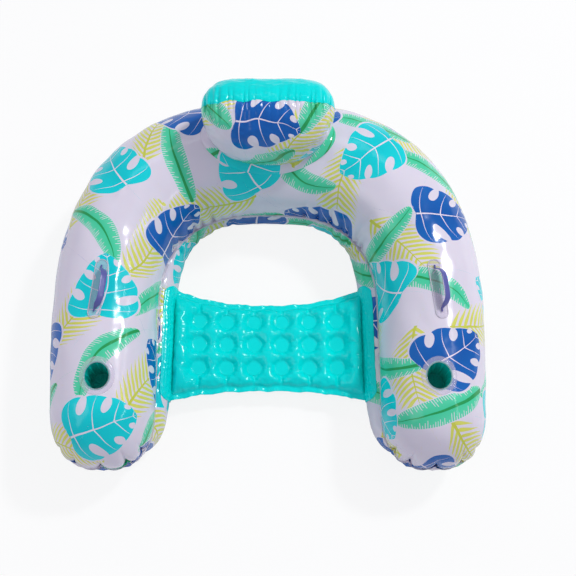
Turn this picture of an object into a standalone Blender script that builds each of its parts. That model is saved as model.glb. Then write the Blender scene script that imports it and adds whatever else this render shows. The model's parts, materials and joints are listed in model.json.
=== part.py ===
"""Inflatable pool chair: a horseshoe of two stacked air chambers with a slung seat.

Metres, +Z up. The sitter faces -Y, between the two arms, and the headrest stands at +Y.
The origin lies on the ground, under the middle of the whole chair.
"""

from collections import namedtuple
from math import asin, cos, pi, radians, sin, sqrt

import bmesh
import bpy
from mathutils import Matrix, Vector

# Clearances and small shared values
GAP = 0.0003
OVERRUN = 0.012
MERGE = 0.000001
SIDES = 24
SMOOTH_ANGLE = 40.0

# Whole chair
OVERALL_WIDTH = 1.02
OVERALL_DEPTH = 0.93
ARCH_CENTRE_Y = -0.10
LOWER_HEIGHT = 0.110
UPPER_HEIGHT = 0.158
WEB_THICKNESS = 0.001
WEB_FLANGE = 0.004
REST_CUT = 0.0005

# Horseshoe in plan, with tube widths measured along the valley seam between the chambers
BACK_TUBE_WIDTH = 0.290
ARM_TUBE_WIDTH = 0.238
ARM_TAPER = 0.014
TIP_LENGTH = 0.132
OUTER_EXPONENT = 2.5
INNER_EXPONENT = 2.6
WALL_EXPONENT = 3.0
TIP_EXPONENT = 2.7
LOWER_OUTER_BULGE = 0.004
LOWER_ARM_BULGE = 0.040
ARM_BULGE_FALL = 0.015
LOWER_BACK_BULGE = -0.002
LOWER_TIP_BULGE = -0.040
LOWER_TIP_EASE = 1.2
PUCKER_DEPTH = 0.009
PUCKER_SHAPE = 0.6

# Steps of the chambers' surfaces
ARCH_STEPS = 24
ARM_STEPS = 4
UPPER_STEPS = 8
LOWER_SHELF_STEPS = 3
LOWER_WALL_STEPS = 5
TIP_STEPS = 28
TIP_NOTCHES = (6, 10, 14, 18, 22)

# Cup holders
CUP_BEHIND_TIP = 0.0485
CUP_INSET = 0.004
CUP_HALF_WIDTH = 0.0285
CUP_HALF_LENGTH = 0.0320
CUP_DEPTH = 0.088
CUP_WALL = 0.0012
CUP_TAPER = 0.004
CUP_RIM_WIDTH = 0.0095
CUP_RIM_THICKNESS = 0.002

# Handles
HANDLE_BEHIND_CUP = 0.203
HANDLE_TOE = 6.0
HANDLE_PAD_LENGTH = 0.144
HANDLE_PAD_WIDTH = 0.031
HANDLE_PAD_THICKNESS = 0.0015
STRAP_END_MARGIN = 0.016
STRAP_RISE = 0.027
STRAP_WIDTH = 0.015
STRAP_THICKNESS = 0.0022
STRAP_NECK = 0.0036
STRAP_NECK_LENGTH = 0.008
STRAP_LEAN = 32.0
STRAP_STEPS = 20
STRAP_SIDES = 8

# Seat
SEAT_BEHIND_TIP = 0.1785
SEAT_HALF_MIDDLE = 0.106
SEAT_HALF_END = 0.141
SEAT_FLARE_EXPONENT = 2.4
SEAT_THICKNESS = 0.052
SEAT_DOT_THICKNESS = 0.006
SEAT_RIM_WIDTH = 0.014
SEAT_END_RIM_WIDTH = 0.005
SEAT_RIM_THICKNESS = 0.0016
SEAT_END_RAISE = 0.013
SEAT_SAG = 0.016
SEAT_COLUMNS = 6
SEAT_ROWS = 3
SEAT_BOLSTER_WIDTH = 0.026
SEAT_EDGE_MARGIN = 0.0035
SEAT_DOT_RADIUS = 0.0185
SEAT_CELLS = 4
SEAT_EDGE_EXPONENT = 4
SEAT_END_EXPONENT = 12
PANEL_THICKNESS = 0.0015
PANEL_HEIGHT = 0.059
PANEL_TOP_MARGIN = 0.007
PANEL_MARGIN = 0.002
PANEL_CORNER = 0.012

# Headrest
HEADREST_FORWARD = 0.004
HEADREST_RADIUS = 0.094
HEADREST_HALF_WIDTH = 0.155
HEADREST_SINK = 0.020
HEADREST_END_EXPONENT = 3.0
HEADREST_END_ROUNDING = 2.2
HEADREST_FOOT_EXPONENT = 3.6
HEADREST_END_BACK = 0.018
HEADREST_END_LIFT = 0.012
HEADREST_SEAM_ANGLE = 104.0
HEADREST_SECTIONS = 16
HEADREST_SIDES = 20
BASE_LIP = 0.005
BASE_DEPTH_INSET = 0.010
BASE_THICKNESS = 0.007

# Valves, with sizes along the valve's own axis, which points out of the skin
VALVE_FLANGE_RADIUS = 0.014
VALVE_FLANGE_THICKNESS = 0.0012
VALVE_STEM_RADIUS = 0.0075
VALVE_BORE_RADIUS = 0.0052
VALVE_STEM_OUT = 0.013
VALVE_STEM_IN = 0.009
VALVE_TRAVEL = 0.007
VALVE_STEM_CLEARANCE = 0.0004
VALVE_POCKET_CLEARANCE = 0.002
VALVE_POCKET_MARGIN = 0.003
PLUG_CAP_RADIUS = 0.0068
PLUG_CAP_THICKNESS = 0.0018
PLUG_DEPTH = 0.0055
PLUG_CLEARANCE = 0.0003
PLUG_TAPER = 0.0012
PLUG_STRAP_WIDTH = 0.005
PLUG_STRAP_THICKNESS = 0.0012
PLUG_HINGE_REACH = 0.0118
TAB_THICKNESS = 0.0025
FLAP_RADIUS = 0.0062
FLAP_THICKNESS = 0.0008
UPPER_VALVE_ANGLE = 98.0
UPPER_VALVE_LIFT = 24.0
LOWER_VALVE_ANGLE = 64.0
HEADREST_VALVE_X = 0.060
HEADREST_VALVE_DROP = 0.035
SEAT_VALVE_COLUMN = -2

# Heights and plan sizes worked out from the values above
WEB_Z = LOWER_HEIGHT + GAP
UPPER_BASE_Z = WEB_Z + WEB_THICKNESS + GAP
CROWN_Z = UPPER_BASE_Z + UPPER_HEIGHT
UPPER_ARM_RADIUS = (UPPER_HEIGHT**2 + (ARM_TUBE_WIDTH / 2) ** 2) / (2 * UPPER_HEIGHT)
ARM_SIDE_BULGE = max(LOWER_OUTER_BULGE, UPPER_ARM_RADIUS - ARM_TUBE_WIDTH / 2)
SEAM_OUTER_HALF_WIDTH = OVERALL_WIDTH / 2 - ARM_SIDE_BULGE
SEAM_OUTER_REACH = OVERALL_DEPTH / 2 - ARCH_CENTRE_Y - LOWER_OUTER_BULGE
SEAM_INNER_HALF_WIDTH = SEAM_OUTER_HALF_WIDTH - ARM_TUBE_WIDTH
SEAM_INNER_REACH = SEAM_OUTER_REACH - BACK_TUBE_WIDTH
WALL_HALF_WIDTH = SEAM_INNER_HALF_WIDTH - LOWER_ARM_BULGE
WALL_REACH = SEAM_INNER_REACH - LOWER_BACK_BULGE
TIP_PEAK_STEP = (TIP_NOTCHES[1] + TIP_NOTCHES[2]) / 2
TIP_PEAK_SHARE = sin(pi * TIP_PEAK_STEP / TIP_STEPS) ** (2 / TIP_EXPONENT)
TIP_Y = -OVERALL_DEPTH / 2 + WEB_FLANGE + TIP_LENGTH * TIP_PEAK_SHARE
CUP_Y = TIP_Y + CUP_BEHIND_TIP
HANDLE_Y = CUP_Y + HANDLE_BEHIND_CUP
STRAP_SPAN = HANDLE_PAD_LENGTH - 2 * STRAP_END_MARGIN
STRAP_AXIS_HEIGHT = GAP + HANDLE_PAD_THICKNESS + GAP + STRAP_NECK / 2
SEAT_Y = TIP_Y + SEAT_BEHIND_TIP
SEAT_END_Z = LOWER_HEIGHT / 2 + SEAT_END_RAISE
SEAT_MIDDLE_Z = SEAT_END_Z - SEAT_SAG
SEAT_WALL_CLEARANCE = GAP + PANEL_THICKNESS + GAP
SEAT_COLUMN_PITCH = 2 * (WALL_HALF_WIDTH - SEAT_BOLSTER_WIDTH) / SEAT_COLUMNS
SEAT_ROW_PITCH = 2 * (SEAT_HALF_MIDDLE - SEAT_RIM_WIDTH - SEAT_EDGE_MARGIN) / SEAT_ROWS
PANEL_MIDDLE_Z = LOWER_HEIGHT - PANEL_TOP_MARGIN - PANEL_HEIGHT / 2
HEADREST_Y = ARCH_CENTRE_Y + SEAM_OUTER_REACH - BACK_TUBE_WIDTH / 2 - HEADREST_FORWARD
HEADREST_Z = CROWN_Z + HEADREST_RADIUS - HEADREST_SINK
BASE_HALF_WIDTH = HEADREST_HALF_WIDTH + BASE_LIP
BASE_HALF_DEPTH = HEADREST_RADIUS - BASE_DEPTH_INSET

FORWARD = Vector((0, -1))
ACROSS, BACK, UP = Vector((1, 0, 0)), Vector((0, 1, 0)), Vector((0, 0, 1))
SIDE_NAMES = {-1: "left", 1: "right"}

# Colour, roughness and alpha of each kind of sheet
FINISHES = {
    "printed": ("E6E0EC", 0.25, 1.0),
    "web": ("F2EEF6", 0.35, 0.8),
    "turquoise": ("00E1D9", 0.22, 1.0),
    "clear": ("DCD6EC", 0.15, 0.5),
    "plug": ("C8C4DC", 0.30, 1.0),
}

Section = namedtuple("Section", "mid out half inner_bulge outer_bulge")


# Plan of the horseshoe
def superellipse_radius(angle, half_width, reach, exponent):
    """Distance from the centre to a superellipse, in the direction of the angle."""
    across = (abs(cos(angle)) / half_width) ** exponent
    along = (abs(sin(angle)) / reach) ** exponent
    return (across + along) ** (-1 / exponent)


def arch_section(angle):
    """The tube's section on a ray from the arch's centre."""
    outer = superellipse_radius(angle, SEAM_OUTER_HALF_WIDTH, SEAM_OUTER_REACH, OUTER_EXPONENT)
    inner = superellipse_radius(angle, SEAM_INNER_HALF_WIDTH, SEAM_INNER_REACH, INNER_EXPONENT)
    wall = superellipse_radius(angle, WALL_HALF_WIDTH, WALL_REACH, WALL_EXPONENT)
    out = Vector((cos(angle), sin(angle)))
    mid = Vector((0, ARCH_CENTRE_Y)) + out * (inner + outer) / 2
    return Section(mid, out, (outer - inner) / 2, inner - wall, LOWER_OUTER_BULGE)


def arm_section(side, y):
    """The tube's section square across an arm; side is -1 on the left and 1 on the right."""
    share = (ARCH_CENTRE_Y - y) / (ARCH_CENTRE_Y - TIP_Y)
    outer = SEAM_OUTER_HALF_WIDTH - ARM_TAPER * share**2
    mid = Vector((side * (SEAM_INNER_HALF_WIDTH + outer) / 2, y))
    half = (outer - SEAM_INNER_HALF_WIDTH) / 2
    inner_bulge = LOWER_ARM_BULGE - ARM_BULGE_FALL * share**3
    return Section(mid, Vector((side, 0)), half, inner_bulge, LOWER_OUTER_BULGE)


def arm_sections(side):
    """Sections from the arm's tip to just short of the arch."""
    step = (ARCH_CENTRE_Y - TIP_Y) / ARM_STEPS
    return [arm_section(side, TIP_Y + step * index) for index in range(ARM_STEPS)]


def horseshoe_sections():
    """Sections from the left tip, round the back, to the right tip."""
    arch = [arch_section(pi - pi * index / ARCH_STEPS) for index in range(ARCH_STEPS + 1)]
    return arm_sections(-1) + arch + arm_sections(1)[::-1]


def pucker_share(step):
    """How far the seam is drawn in at a step round the tip: 1 at a notch, 0 between two."""
    pitch = TIP_NOTCHES[1] - TIP_NOTCHES[0]
    margin = pitch / 2
    if not TIP_NOTCHES[0] - margin < step < TIP_NOTCHES[-1] + margin:
        return 0.0
    return 1 - abs(sin(pi * (step - TIP_NOTCHES[0]) / pitch)) ** PUCKER_SHAPE


def tip_rays(section):
    """For each step round an arm's tip: plan direction, seam distance, pucker and lower bulge."""
    rays = []
    for step in range(TIP_STEPS + 1):
        angle = pi * step / TIP_STEPS
        way = 1 if step <= TIP_STEPS / 2 else -1
        out_share = way * abs(cos(angle)) ** (2 / TIP_EXPONENT)
        front_share = max(sin(angle), 0) ** (2 / TIP_EXPONENT)
        reach = section.out * (section.half * out_share) + FORWARD * (TIP_LENGTH * front_share)
        side_bulge = section.outer_bulge if way > 0 else section.inner_bulge
        ease = sin(angle) ** LOWER_TIP_EASE if 0 < step < TIP_STEPS else 0
        bulge = side_bulge + (LOWER_TIP_BULGE - side_bulge) * ease
        rays.append((reach.normalized(), reach.length, pucker_share(step), bulge))
    return rays


# Half profiles, as distances from the section's middle and heights, from the seam inwards
def upper_arc(half, offset=0):
    """Radius of the taut upper skin, and its centre's height over the web."""
    height = UPPER_HEIGHT + 2 * offset
    radius = (height**2 + (half + offset) ** 2) / (2 * height)
    return radius, height - radius


def upper_profile(half, pucker, offset):
    """Arc from the seam over to the crown."""
    radius, centre = upper_arc(half, offset)
    start = -asin(centre / radius)
    points = []
    for step in range(UPPER_STEPS + 1):
        share = step / UPPER_STEPS
        angle = start + (pi / 2 - start) * share
        drawn_in = PUCKER_DEPTH * pucker * (1 - share) ** 2
        height = UPPER_BASE_Z - offset + centre + radius * sin(angle)
        points.append((radius * cos(angle) - drawn_in, height))
    points[-1] = (0, CROWN_Z + offset)
    return points


def lower_profile(half, pucker, bulge, offset):
    """Shelf from the seam out to the fullest line, then the wall down to the flat it rests on."""
    middle = LOWER_HEIGHT / 2
    points = []
    for step in range(LOWER_SHELF_STEPS):
        share = 1 - step / LOWER_SHELF_STEPS
        angle = pi / 2 * share
        reach = half + bulge * cos(angle) - PUCKER_DEPTH * pucker * share + offset
        points.append((reach, middle + (middle + offset) * sin(angle)))
    end = asin(middle / (middle + REST_CUT))
    for step in range(LOWER_WALL_STEPS + 1):
        angle = end * step / LOWER_WALL_STEPS
        reach = (half + bulge + offset) * cos(angle)
        points.append((reach, middle - (middle + REST_CUT) * sin(angle)))
    points[-1] = (points[-1][0], -offset)
    return points


# Materials
def linear(channel):
    """One sRGB channel, 0 to 1, as linear light."""
    toe_share, knee_share, gain_share, slope_share = 0.04045, 0.055, 1.055, 12.92
    if channel <= toe_share:
        return channel / slope_share
    return ((channel + knee_share) / gain_share) ** 2.4


def make_material(name, finish):
    """The object's own soft PVC, in its sheet's colour and gloss."""
    hex_colour, roughness, alpha = FINISHES[finish]
    material = bpy.data.materials.new(name)
    material.use_nodes = True
    shader = material.node_tree.nodes["Principled BSDF"]
    channels = [linear(int(hex_colour[index : index + 2], 16) / 255) for index in (0, 2, 4)]
    shader.inputs["Base Color"].default_value = (*channels, 1)
    shader.inputs["Roughness"].default_value = roughness
    shader.inputs["Metallic"].default_value = 0
    shader.inputs["Alpha"].default_value = alpha
    material.diffuse_color = (*channels, alpha)
    return material


# Mesh helpers
def mesh_object(name, mesh_edit):
    """Closes off a bmesh as a named object with its faces pointing out."""
    bmesh.ops.remove_doubles(mesh_edit, verts=mesh_edit.verts, dist=MERGE)
    quads = [face for face in mesh_edit.faces if len(face.verts) == 4]
    bmesh.ops.triangulate(mesh_edit, faces=quads, quad_method="FIXED")
    bmesh.ops.recalc_face_normals(mesh_edit, faces=mesh_edit.faces)
    mesh = bpy.data.meshes.new(name)
    mesh_edit.to_mesh(mesh)
    mesh_edit.free()
    item = bpy.data.objects.new(name, mesh)
    bpy.context.scene.collection.objects.link(item)
    return item


def combine(item, other, operation):
    """Applies an exact Boolean to the item and deletes the other body."""
    modifier = item.modifiers.new(operation.lower(), "BOOLEAN")
    modifier.operation = operation
    modifier.object = other
    modifier.solver = "EXACT"
    graph = bpy.context.evaluated_depsgraph_get()
    mesh_edit = bmesh.new()
    mesh_edit.from_mesh(item.evaluated_get(graph).to_mesh())
    item.modifiers.clear()
    bmesh.ops.remove_doubles(mesh_edit, verts=mesh_edit.verts, dist=MERGE)
    mesh_edit.to_mesh(item.data)
    mesh_edit.free()
    bpy.data.objects.remove(other)
    return item


def finished(item, finish, pivot=None):
    """Gives a body its own material, smooth shading and, where it moves, its origin."""
    item.data.materials.append(make_material(item.name + "_pvc", finish))
    item.data.shade_smooth()
    item.data.set_sharp_from_angle(angle=radians(SMOOTH_ANGLE))
    if pivot:
        item.data.transform(pivot.inverted())
        item.matrix_world = pivot
    return item


def skin_between(mesh_edit, first, second):
    """Quads between two rows of vertices."""
    for index in range(len(first) - 1):
        mesh_edit.faces.new((first[index], first[index + 1], second[index + 1], second[index]))


def row_of(mesh_edit, points):
    """New vertices at the points."""
    return [mesh_edit.verts.new(point) for point in points]


def placed(mid, direction, profile):
    """A half profile as 3-D points, from its plan middle and direction."""
    return [(*(mid + direction * distance), height) for distance, height in profile]


def place_at(point, normal, lateral):
    """A frame at a point with its Z along the normal and its X along the lateral direction."""
    turn = Matrix((lateral, normal.cross(lateral), normal)).transposed().to_4x4()
    return Matrix.Translation(point) @ turn


def prism(outline, low, high, place, name="prism"):
    """A flat outline in the place's X and Y, extruded along the place's Z."""
    mesh_edit = bmesh.new()
    base = mesh_edit.faces.new(row_of(mesh_edit, [(x, y, low) for x, y in outline]))
    drawn = bmesh.ops.extrude_face_region(mesh_edit, geom=[base], use_keep_orig=True)
    top = [part for part in drawn["geom"] if isinstance(part, bmesh.types.BMVert)]
    bmesh.ops.translate(mesh_edit, verts=top, vec=UP * (high - low))
    mesh_edit.transform(place)
    return mesh_object(name, mesh_edit)


def turned(profile, place, name="turned", stretch=1.0):
    """A closed profile of radii and heights spun about the place's Z, stretched along its Y."""
    mesh_edit = bmesh.new()
    start = pi / SIDES
    points = [(radius * cos(start), radius * sin(start), height) for radius, height in profile]
    row = row_of(mesh_edit, points)
    edges = [mesh_edit.edges.new(pair) for pair in zip(row, row[1:])]
    if profile[0][0] > 0:
        edges.append(mesh_edit.edges.new((row[-1], row[0])))
    bmesh.ops.spin(
        mesh_edit, geom=row + edges, cent=(0, 0, 0), axis=UP, angle=2 * pi, steps=SIDES,
        use_merge=True,
    )
    mesh_edit.transform(place @ Matrix.Diagonal((1, stretch, 1, 1)))
    return mesh_object(name, mesh_edit)


def ellipse_outline(half_width, half_length, steps=SIDES):
    """Points round an ellipse."""
    angles = [2 * pi * (index + 0.5) / steps for index in range(steps)]
    return [(half_width * cos(angle), half_length * sin(angle)) for angle in angles]


def rounded_outline(half_x, half_y, corner, steps=SIDES):
    """Points round a rectangle with round corners."""
    points = []
    for index in range(steps):
        angle = 2 * pi * (index + 0.5) / steps
        x_side = 1 if cos(angle) > 0 else -1
        y_side = 1 if sin(angle) > 0 else -1
        x = x_side * (half_x - corner) + corner * cos(angle)
        points.append((x, y_side * (half_y - corner) + corner * sin(angle)))
    return points


def block(low, high, place):
    """A box between two corners in the place's own axes."""
    outline = [(low[0], low[1]), (high[0], low[1]), (high[0], high[1]), (low[0], high[1])]
    return prism(outline, low[2], high[2], place, "block")


def weld_on(item, skin, thickness):
    """Trims a body to a sheet of the given thickness that lies one gap over a skin."""
    combine(item, skin(GAP + thickness), "INTERSECT")
    return combine(item, skin(GAP), "DIFFERENCE")


# Chambers
def horseshoe_body(name, profile_of):
    """Closed body over the whole horseshoe; profile_of(half, pucker, bulge) is a half profile."""
    mesh_edit = bmesh.new()
    sections = horseshoe_sections()
    inner_rows, outer_rows = [], []
    for section in sections:
        inner = profile_of(section.half, 0, section.inner_bulge)
        outer = profile_of(section.half, 0, section.outer_bulge)
        inner_rows.append(row_of(mesh_edit, placed(section.mid, -section.out, inner)))
        outer_rows.append(row_of(mesh_edit, placed(section.mid, section.out, outer)))
    for index in range(len(sections) - 1):
        skin_between(mesh_edit, inner_rows[index], inner_rows[index + 1])
        skin_between(mesh_edit, outer_rows[index], outer_rows[index + 1])
        for end in (0, -1):
            ends = (inner_rows[index][end], inner_rows[index + 1][end])
            mesh_edit.faces.new((*ends, outer_rows[index + 1][end], outer_rows[index][end]))
    for section in (sections[0], sections[-1]):
        rows = []
        for direction, half, pucker, bulge in tip_rays(section):
            points = placed(section.mid, direction, profile_of(half, pucker, bulge))
            rows.append(row_of(mesh_edit, points))
        for first, second in zip(rows, rows[1:]):
            skin_between(mesh_edit, first, second)
        mesh_edit.faces.new([points[0] for points in rows])
        if (rows[0][-1].co - rows[-1][-1].co).length > MERGE:
            mesh_edit.faces.new([points[-1] for points in rows])
    return mesh_object(name, mesh_edit)


def upper_skin(offset, name="upper_skin"):
    """The upper chamber's body, grown by the offset."""
    return horseshoe_body(name, lambda half, pucker, bulge: upper_profile(half, pucker, offset))


def lower_skin(offset, name="lower_skin"):
    """The lower chamber's body, grown by the offset."""
    return horseshoe_body(
        name, lambda half, pucker, bulge: lower_profile(half, pucker, bulge, offset)
    )


def make_web():
    """The flat sheet between the chambers, with its flange past the inner seam and the tips."""
    sections = horseshoe_sections()
    inner = [section.mid - section.out * (section.half + WEB_FLANGE) for section in sections]
    outer = [section.mid + section.out * section.half for section in sections]
    tips = {}
    for side, section in ((-1, sections[0]), (1, sections[-1])):
        edge = []
        for direction, half, pucker, _ in tip_rays(section):
            flange = WEB_FLANGE * (1 - max(direction.dot(section.out), 0))
            edge.append(section.mid + direction * (half + flange - PUCKER_DEPTH * pucker))
        tips[side] = edge[1:-1]
    outline = inner + tips[1][::-1] + outer[::-1] + tips[-1]
    web = prism(outline, WEB_Z, WEB_Z + WEB_THICKNESS, Matrix.Identity(4), "chamber_web")
    finished(web, "web")


# Cup holders
def make_cup(side, upper):
    """A well let into an arm's crown, its pocket in the chamber and its weld ring."""
    middle = arm_section(side, CUP_Y).mid
    place = place_at(Vector((middle.x - side * CUP_INSET, middle.y, CROWN_Z)), UP, ACROSS)
    stretch = CUP_HALF_LENGTH / CUP_HALF_WIDTH
    outer = CUP_HALF_WIDTH + CUP_WALL
    pocket = outer + GAP
    floor = -CUP_DEPTH - CUP_WALL
    wall = [
        (0, -CUP_DEPTH),
        (CUP_HALF_WIDTH - CUP_TAPER, -CUP_DEPTH),
        (CUP_HALF_WIDTH, OVERRUN),
        (outer, OVERRUN),
        (outer - CUP_TAPER, floor),
        (0, floor),
    ]
    well = turned(wall, place, "cup_well_" + SIDE_NAMES[side], stretch)
    combine(well, upper_skin(GAP + CUP_RIM_THICKNESS), "INTERSECT")
    finished(well, "turquoise")
    hollow = prism(ellipse_outline(pocket, pocket * stretch), floor - GAP, OVERRUN, place)
    combine(upper, hollow, "DIFFERENCE")
    reach = pocket + CUP_RIM_WIDTH
    ring = [(pocket, -OVERRUN), (reach, -OVERRUN), (reach, OVERRUN), (pocket, OVERRUN)]
    rim = turned(ring, place, "cup_rim_" + SIDE_NAMES[side], stretch)
    finished(weld_on(rim, upper_skin, CUP_RIM_THICKNESS), "clear")


# Handles
def handle_place(side):
    """The frame on an arm's crown with its Y along the handle."""
    middle = arm_section(side, HANDLE_Y).mid
    toe = radians(HANDLE_TOE) * side
    lateral = Vector((cos(toe), sin(toe), 0))
    return place_at(Vector((middle.x, middle.y, CROWN_Z)), UP, lateral)


def strap_rings():
    """Rings round the arched strap from neck to neck, about the line through its necks."""
    lean = radians(STRAP_LEAN)
    rise_way = Vector((sin(lean), 0, cos(lean)))
    width_way = Vector((cos(lean), 0, -sin(lean)))
    half_arch = STRAP_SPAN / 2 - STRAP_NECK_LENGTH
    stations = [(-STRAP_SPAN / 2, 0)]
    for step in range(STRAP_STEPS + 1):
        along = half_arch * (2 * step / STRAP_STEPS - 1)
        stations.append((along, 1 - (along / half_arch) ** 2))
    stations.append((STRAP_SPAN / 2, 0))
    spine = [BACK * along + rise_way * (STRAP_RISE * share) for along, share in stations]
    rings = []
    for index, (_, share) in enumerate(stations):
        ahead = BACK
        if 0 < index < len(stations) - 1:
            ahead = (spine[index + 1] - spine[index - 1]).normalized()
        swell = min(1, 2 * share)
        width = width_way * (STRAP_NECK + (STRAP_WIDTH - STRAP_NECK) * swell) / 2
        thickness = STRAP_NECK + (STRAP_THICKNESS - STRAP_NECK) * swell
        depth = width_way.cross(ahead) * thickness / 2
        angles = [2 * pi * (corner + 0.5) / STRAP_SIDES for corner in range(STRAP_SIDES)]
        rings.append([spine[index] + width * cos(a) + depth * sin(a) for a in angles])
    return rings


def make_handle(side):
    """A welded pad and the arched strap that stands on it, leaning over to +X."""
    place = handle_place(side)
    half_width, half_length = HANDLE_PAD_WIDTH / 2, HANDLE_PAD_LENGTH / 2
    outline = rounded_outline(half_width, half_length, half_width)
    pad = prism(outline, -OVERRUN, OVERRUN, place, "handle_pad_" + SIDE_NAMES[side])
    finished(weld_on(pad, upper_skin, HANDLE_PAD_THICKNESS), "clear")

    pivot = place @ Matrix.Translation(UP * STRAP_AXIS_HEIGHT)
    mesh_edit = bmesh.new()
    rings = [row_of(mesh_edit, ring) for ring in strap_rings()]
    for first, second in zip(rings, rings[1:]):
        skin_between(mesh_edit, first + first[:1], second + second[:1])
    for end in (0, -1):
        mesh_edit.faces.new(rings[end])
    mesh_edit.transform(pivot)
    finished(mesh_object("handle_strap_" + SIDE_NAMES[side], mesh_edit), "clear", pivot)


# Seat
def seat_half_length(x):
    """Half of the seat's length from front to back, flaring to the ends."""
    share = min(abs(x) / WALL_HALF_WIDTH, 1) ** SEAT_FLARE_EXPONENT
    return SEAT_HALF_MIDDLE + (SEAT_HALF_END - SEAT_HALF_MIDDLE) * share


def seat_middle_height(x):
    """Height of the sagging seat's middle surface."""
    return SEAT_MIDDLE_Z + SEAT_SAG * (x / WALL_HALF_WIDTH) ** 2


def nearest_place(value, pitch, count):
    """The place nearest to a value in a centred row of equally spaced places."""
    middle = (count - 1) / 2
    return (min(max(round(value / pitch + middle), 0), count - 1) - middle) * pitch


def dot_distance(x, y):
    """Distance to the nearest weld dot's centre."""
    across = x - nearest_place(x, SEAT_COLUMN_PITCH, SEAT_COLUMNS)
    along = y - SEAT_Y - nearest_place(y - SEAT_Y, SEAT_ROW_PITCH, SEAT_ROWS)
    return sqrt(across**2 + along**2)


def seat_half_thickness(x, y):
    """Half of the mattress's thickness: full between the dots, thin at the dots and the rim."""
    across = abs(x) / (WALL_HALF_WIDTH - SEAT_END_RIM_WIDTH)
    along = abs(y - SEAT_Y) / (seat_half_length(x) - SEAT_RIM_WIDTH)
    if across >= 1 or along >= 1:
        return SEAT_RIM_THICKNESS / 2
    edge_share = sqrt((1 - across**SEAT_END_EXPONENT) * (1 - along**SEAT_EDGE_EXPONENT))
    rise_length = SEAT_ROW_PITCH - 2 * SEAT_DOT_RADIUS
    share = min(max((dot_distance(x, y) - SEAT_DOT_RADIUS) / rise_length, 0), 1)
    low, high = SEAT_DOT_THICKNESS / 2, SEAT_THICKNESS / 2
    full = low + (high - low) * sqrt(share)
    return max(full * edge_share, SEAT_RIM_THICKNESS / 2)


def seat_lines(pitch, count, inside, half):
    """Grid places from the middle out: parts of a pitch, the rim's inner edge and the edge."""
    cells = count * SEAT_CELLS // 2
    places = [min(pitch * index / SEAT_CELLS, inside) for index in range(cells + 1)]
    places += [(places[-1] + inside) / 2, inside, half]
    return [-place for place in places[:0:-1]] + places


def seat_skin(offset, name="seat_skin"):
    """The mattress's body, grown up and down by the offset and run on into the walls."""
    mesh_edit = bmesh.new()
    x_inside = WALL_HALF_WIDTH - SEAT_END_RIM_WIDTH
    x_end = WALL_HALF_WIDTH + OVERRUN
    tops, bottoms = [], []
    for x in seat_lines(SEAT_COLUMN_PITCH, SEAT_COLUMNS, x_inside, x_end):
        half = seat_half_length(x)
        top, bottom = [], []
        for along in seat_lines(SEAT_ROW_PITCH, SEAT_ROWS, half - SEAT_RIM_WIDTH, half):
            y = SEAT_Y + along
            thickness = seat_half_thickness(x, y) + offset
            top.append((x, y, seat_middle_height(x) + thickness))
            bottom.append((x, y, seat_middle_height(x) - thickness))
        tops.append(row_of(mesh_edit, top))
        bottoms.append(row_of(mesh_edit, bottom))
    for rows in (tops, bottoms):
        for first, second in zip(rows, rows[1:]):
            skin_between(mesh_edit, first, second)
    for end in (0, -1):
        skin_between(mesh_edit, tops[end], bottoms[end])
        skin_between(mesh_edit, [row[end] for row in tops], [row[end] for row in bottoms])
    return mesh_object(name, mesh_edit)


def make_panel(side):
    """The band that holds one end of the seat to the lower chamber's inner wall."""
    wall_point = Vector((side * WALL_HALF_WIDTH, SEAT_Y, PANEL_MIDDLE_Z))
    place = place_at(wall_point, ACROSS, BACK)
    outline = rounded_outline(SEAT_HALF_END + PANEL_MARGIN, PANEL_HEIGHT / 2, PANEL_CORNER)
    reach = LOWER_ARM_BULGE + OVERRUN
    panel = prism(outline, -reach, reach, place, "seat_end_panel_" + SIDE_NAMES[side])
    finished(weld_on(panel, lower_skin, PANEL_THICKNESS), "turquoise")


# Headrest
def headrest_girth_share(x):
    """The pillow's girth at a place along its length, as a share of its full girth."""
    share = 1 - min(abs(x) / HEADREST_HALF_WIDTH, 1) ** HEADREST_END_EXPONENT
    return share ** (1 / HEADREST_END_ROUNDING)


def headrest_middle(x):
    """Middle of the pillow's section, which moves back and up towards the ends."""
    share = (x / HEADREST_HALF_WIDTH) ** 2
    return HEADREST_Y + HEADREST_END_BACK * share, HEADREST_Z + HEADREST_END_LIFT * share


def headrest_skin(offset, name="headrest_skin"):
    """The pillow's whole body, a bolster lying along X, grown by the offset."""
    mesh_edit = bmesh.new()
    seam = radians(HEADREST_SEAM_ANGLE)
    rows = []
    for index in range(HEADREST_SECTIONS + 1):
        swing = -pi / 2 + pi * index / HEADREST_SECTIONS
        x = HEADREST_HALF_WIDTH * sin(swing)
        is_pole = index in (0, HEADREST_SECTIONS)
        radius = 0 if is_pole else HEADREST_RADIUS * headrest_girth_share(x) + offset
        middle_y, middle_z = headrest_middle(x)
        ring = []
        for side in range(HEADREST_SIDES):
            angle = seam + 2 * pi * side / HEADREST_SIDES
            along, rise = cos(angle), sin(angle)
            if rise < 0:
                along = (1 if along > 0 else -1) * abs(along) ** (2 / HEADREST_FOOT_EXPONENT)
                rise = -(abs(rise) ** (2 / HEADREST_FOOT_EXPONENT))
            y, z = middle_y + radius * along, middle_z + radius * rise
            ring.append((x + offset * sin(swing), y, z))
        rows.append(row_of(mesh_edit, ring))
    for first, second in zip(rows, rows[1:]):
        skin_between(mesh_edit, first + first[:1], second + second[:1])
    return mesh_object(name, mesh_edit)


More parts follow.
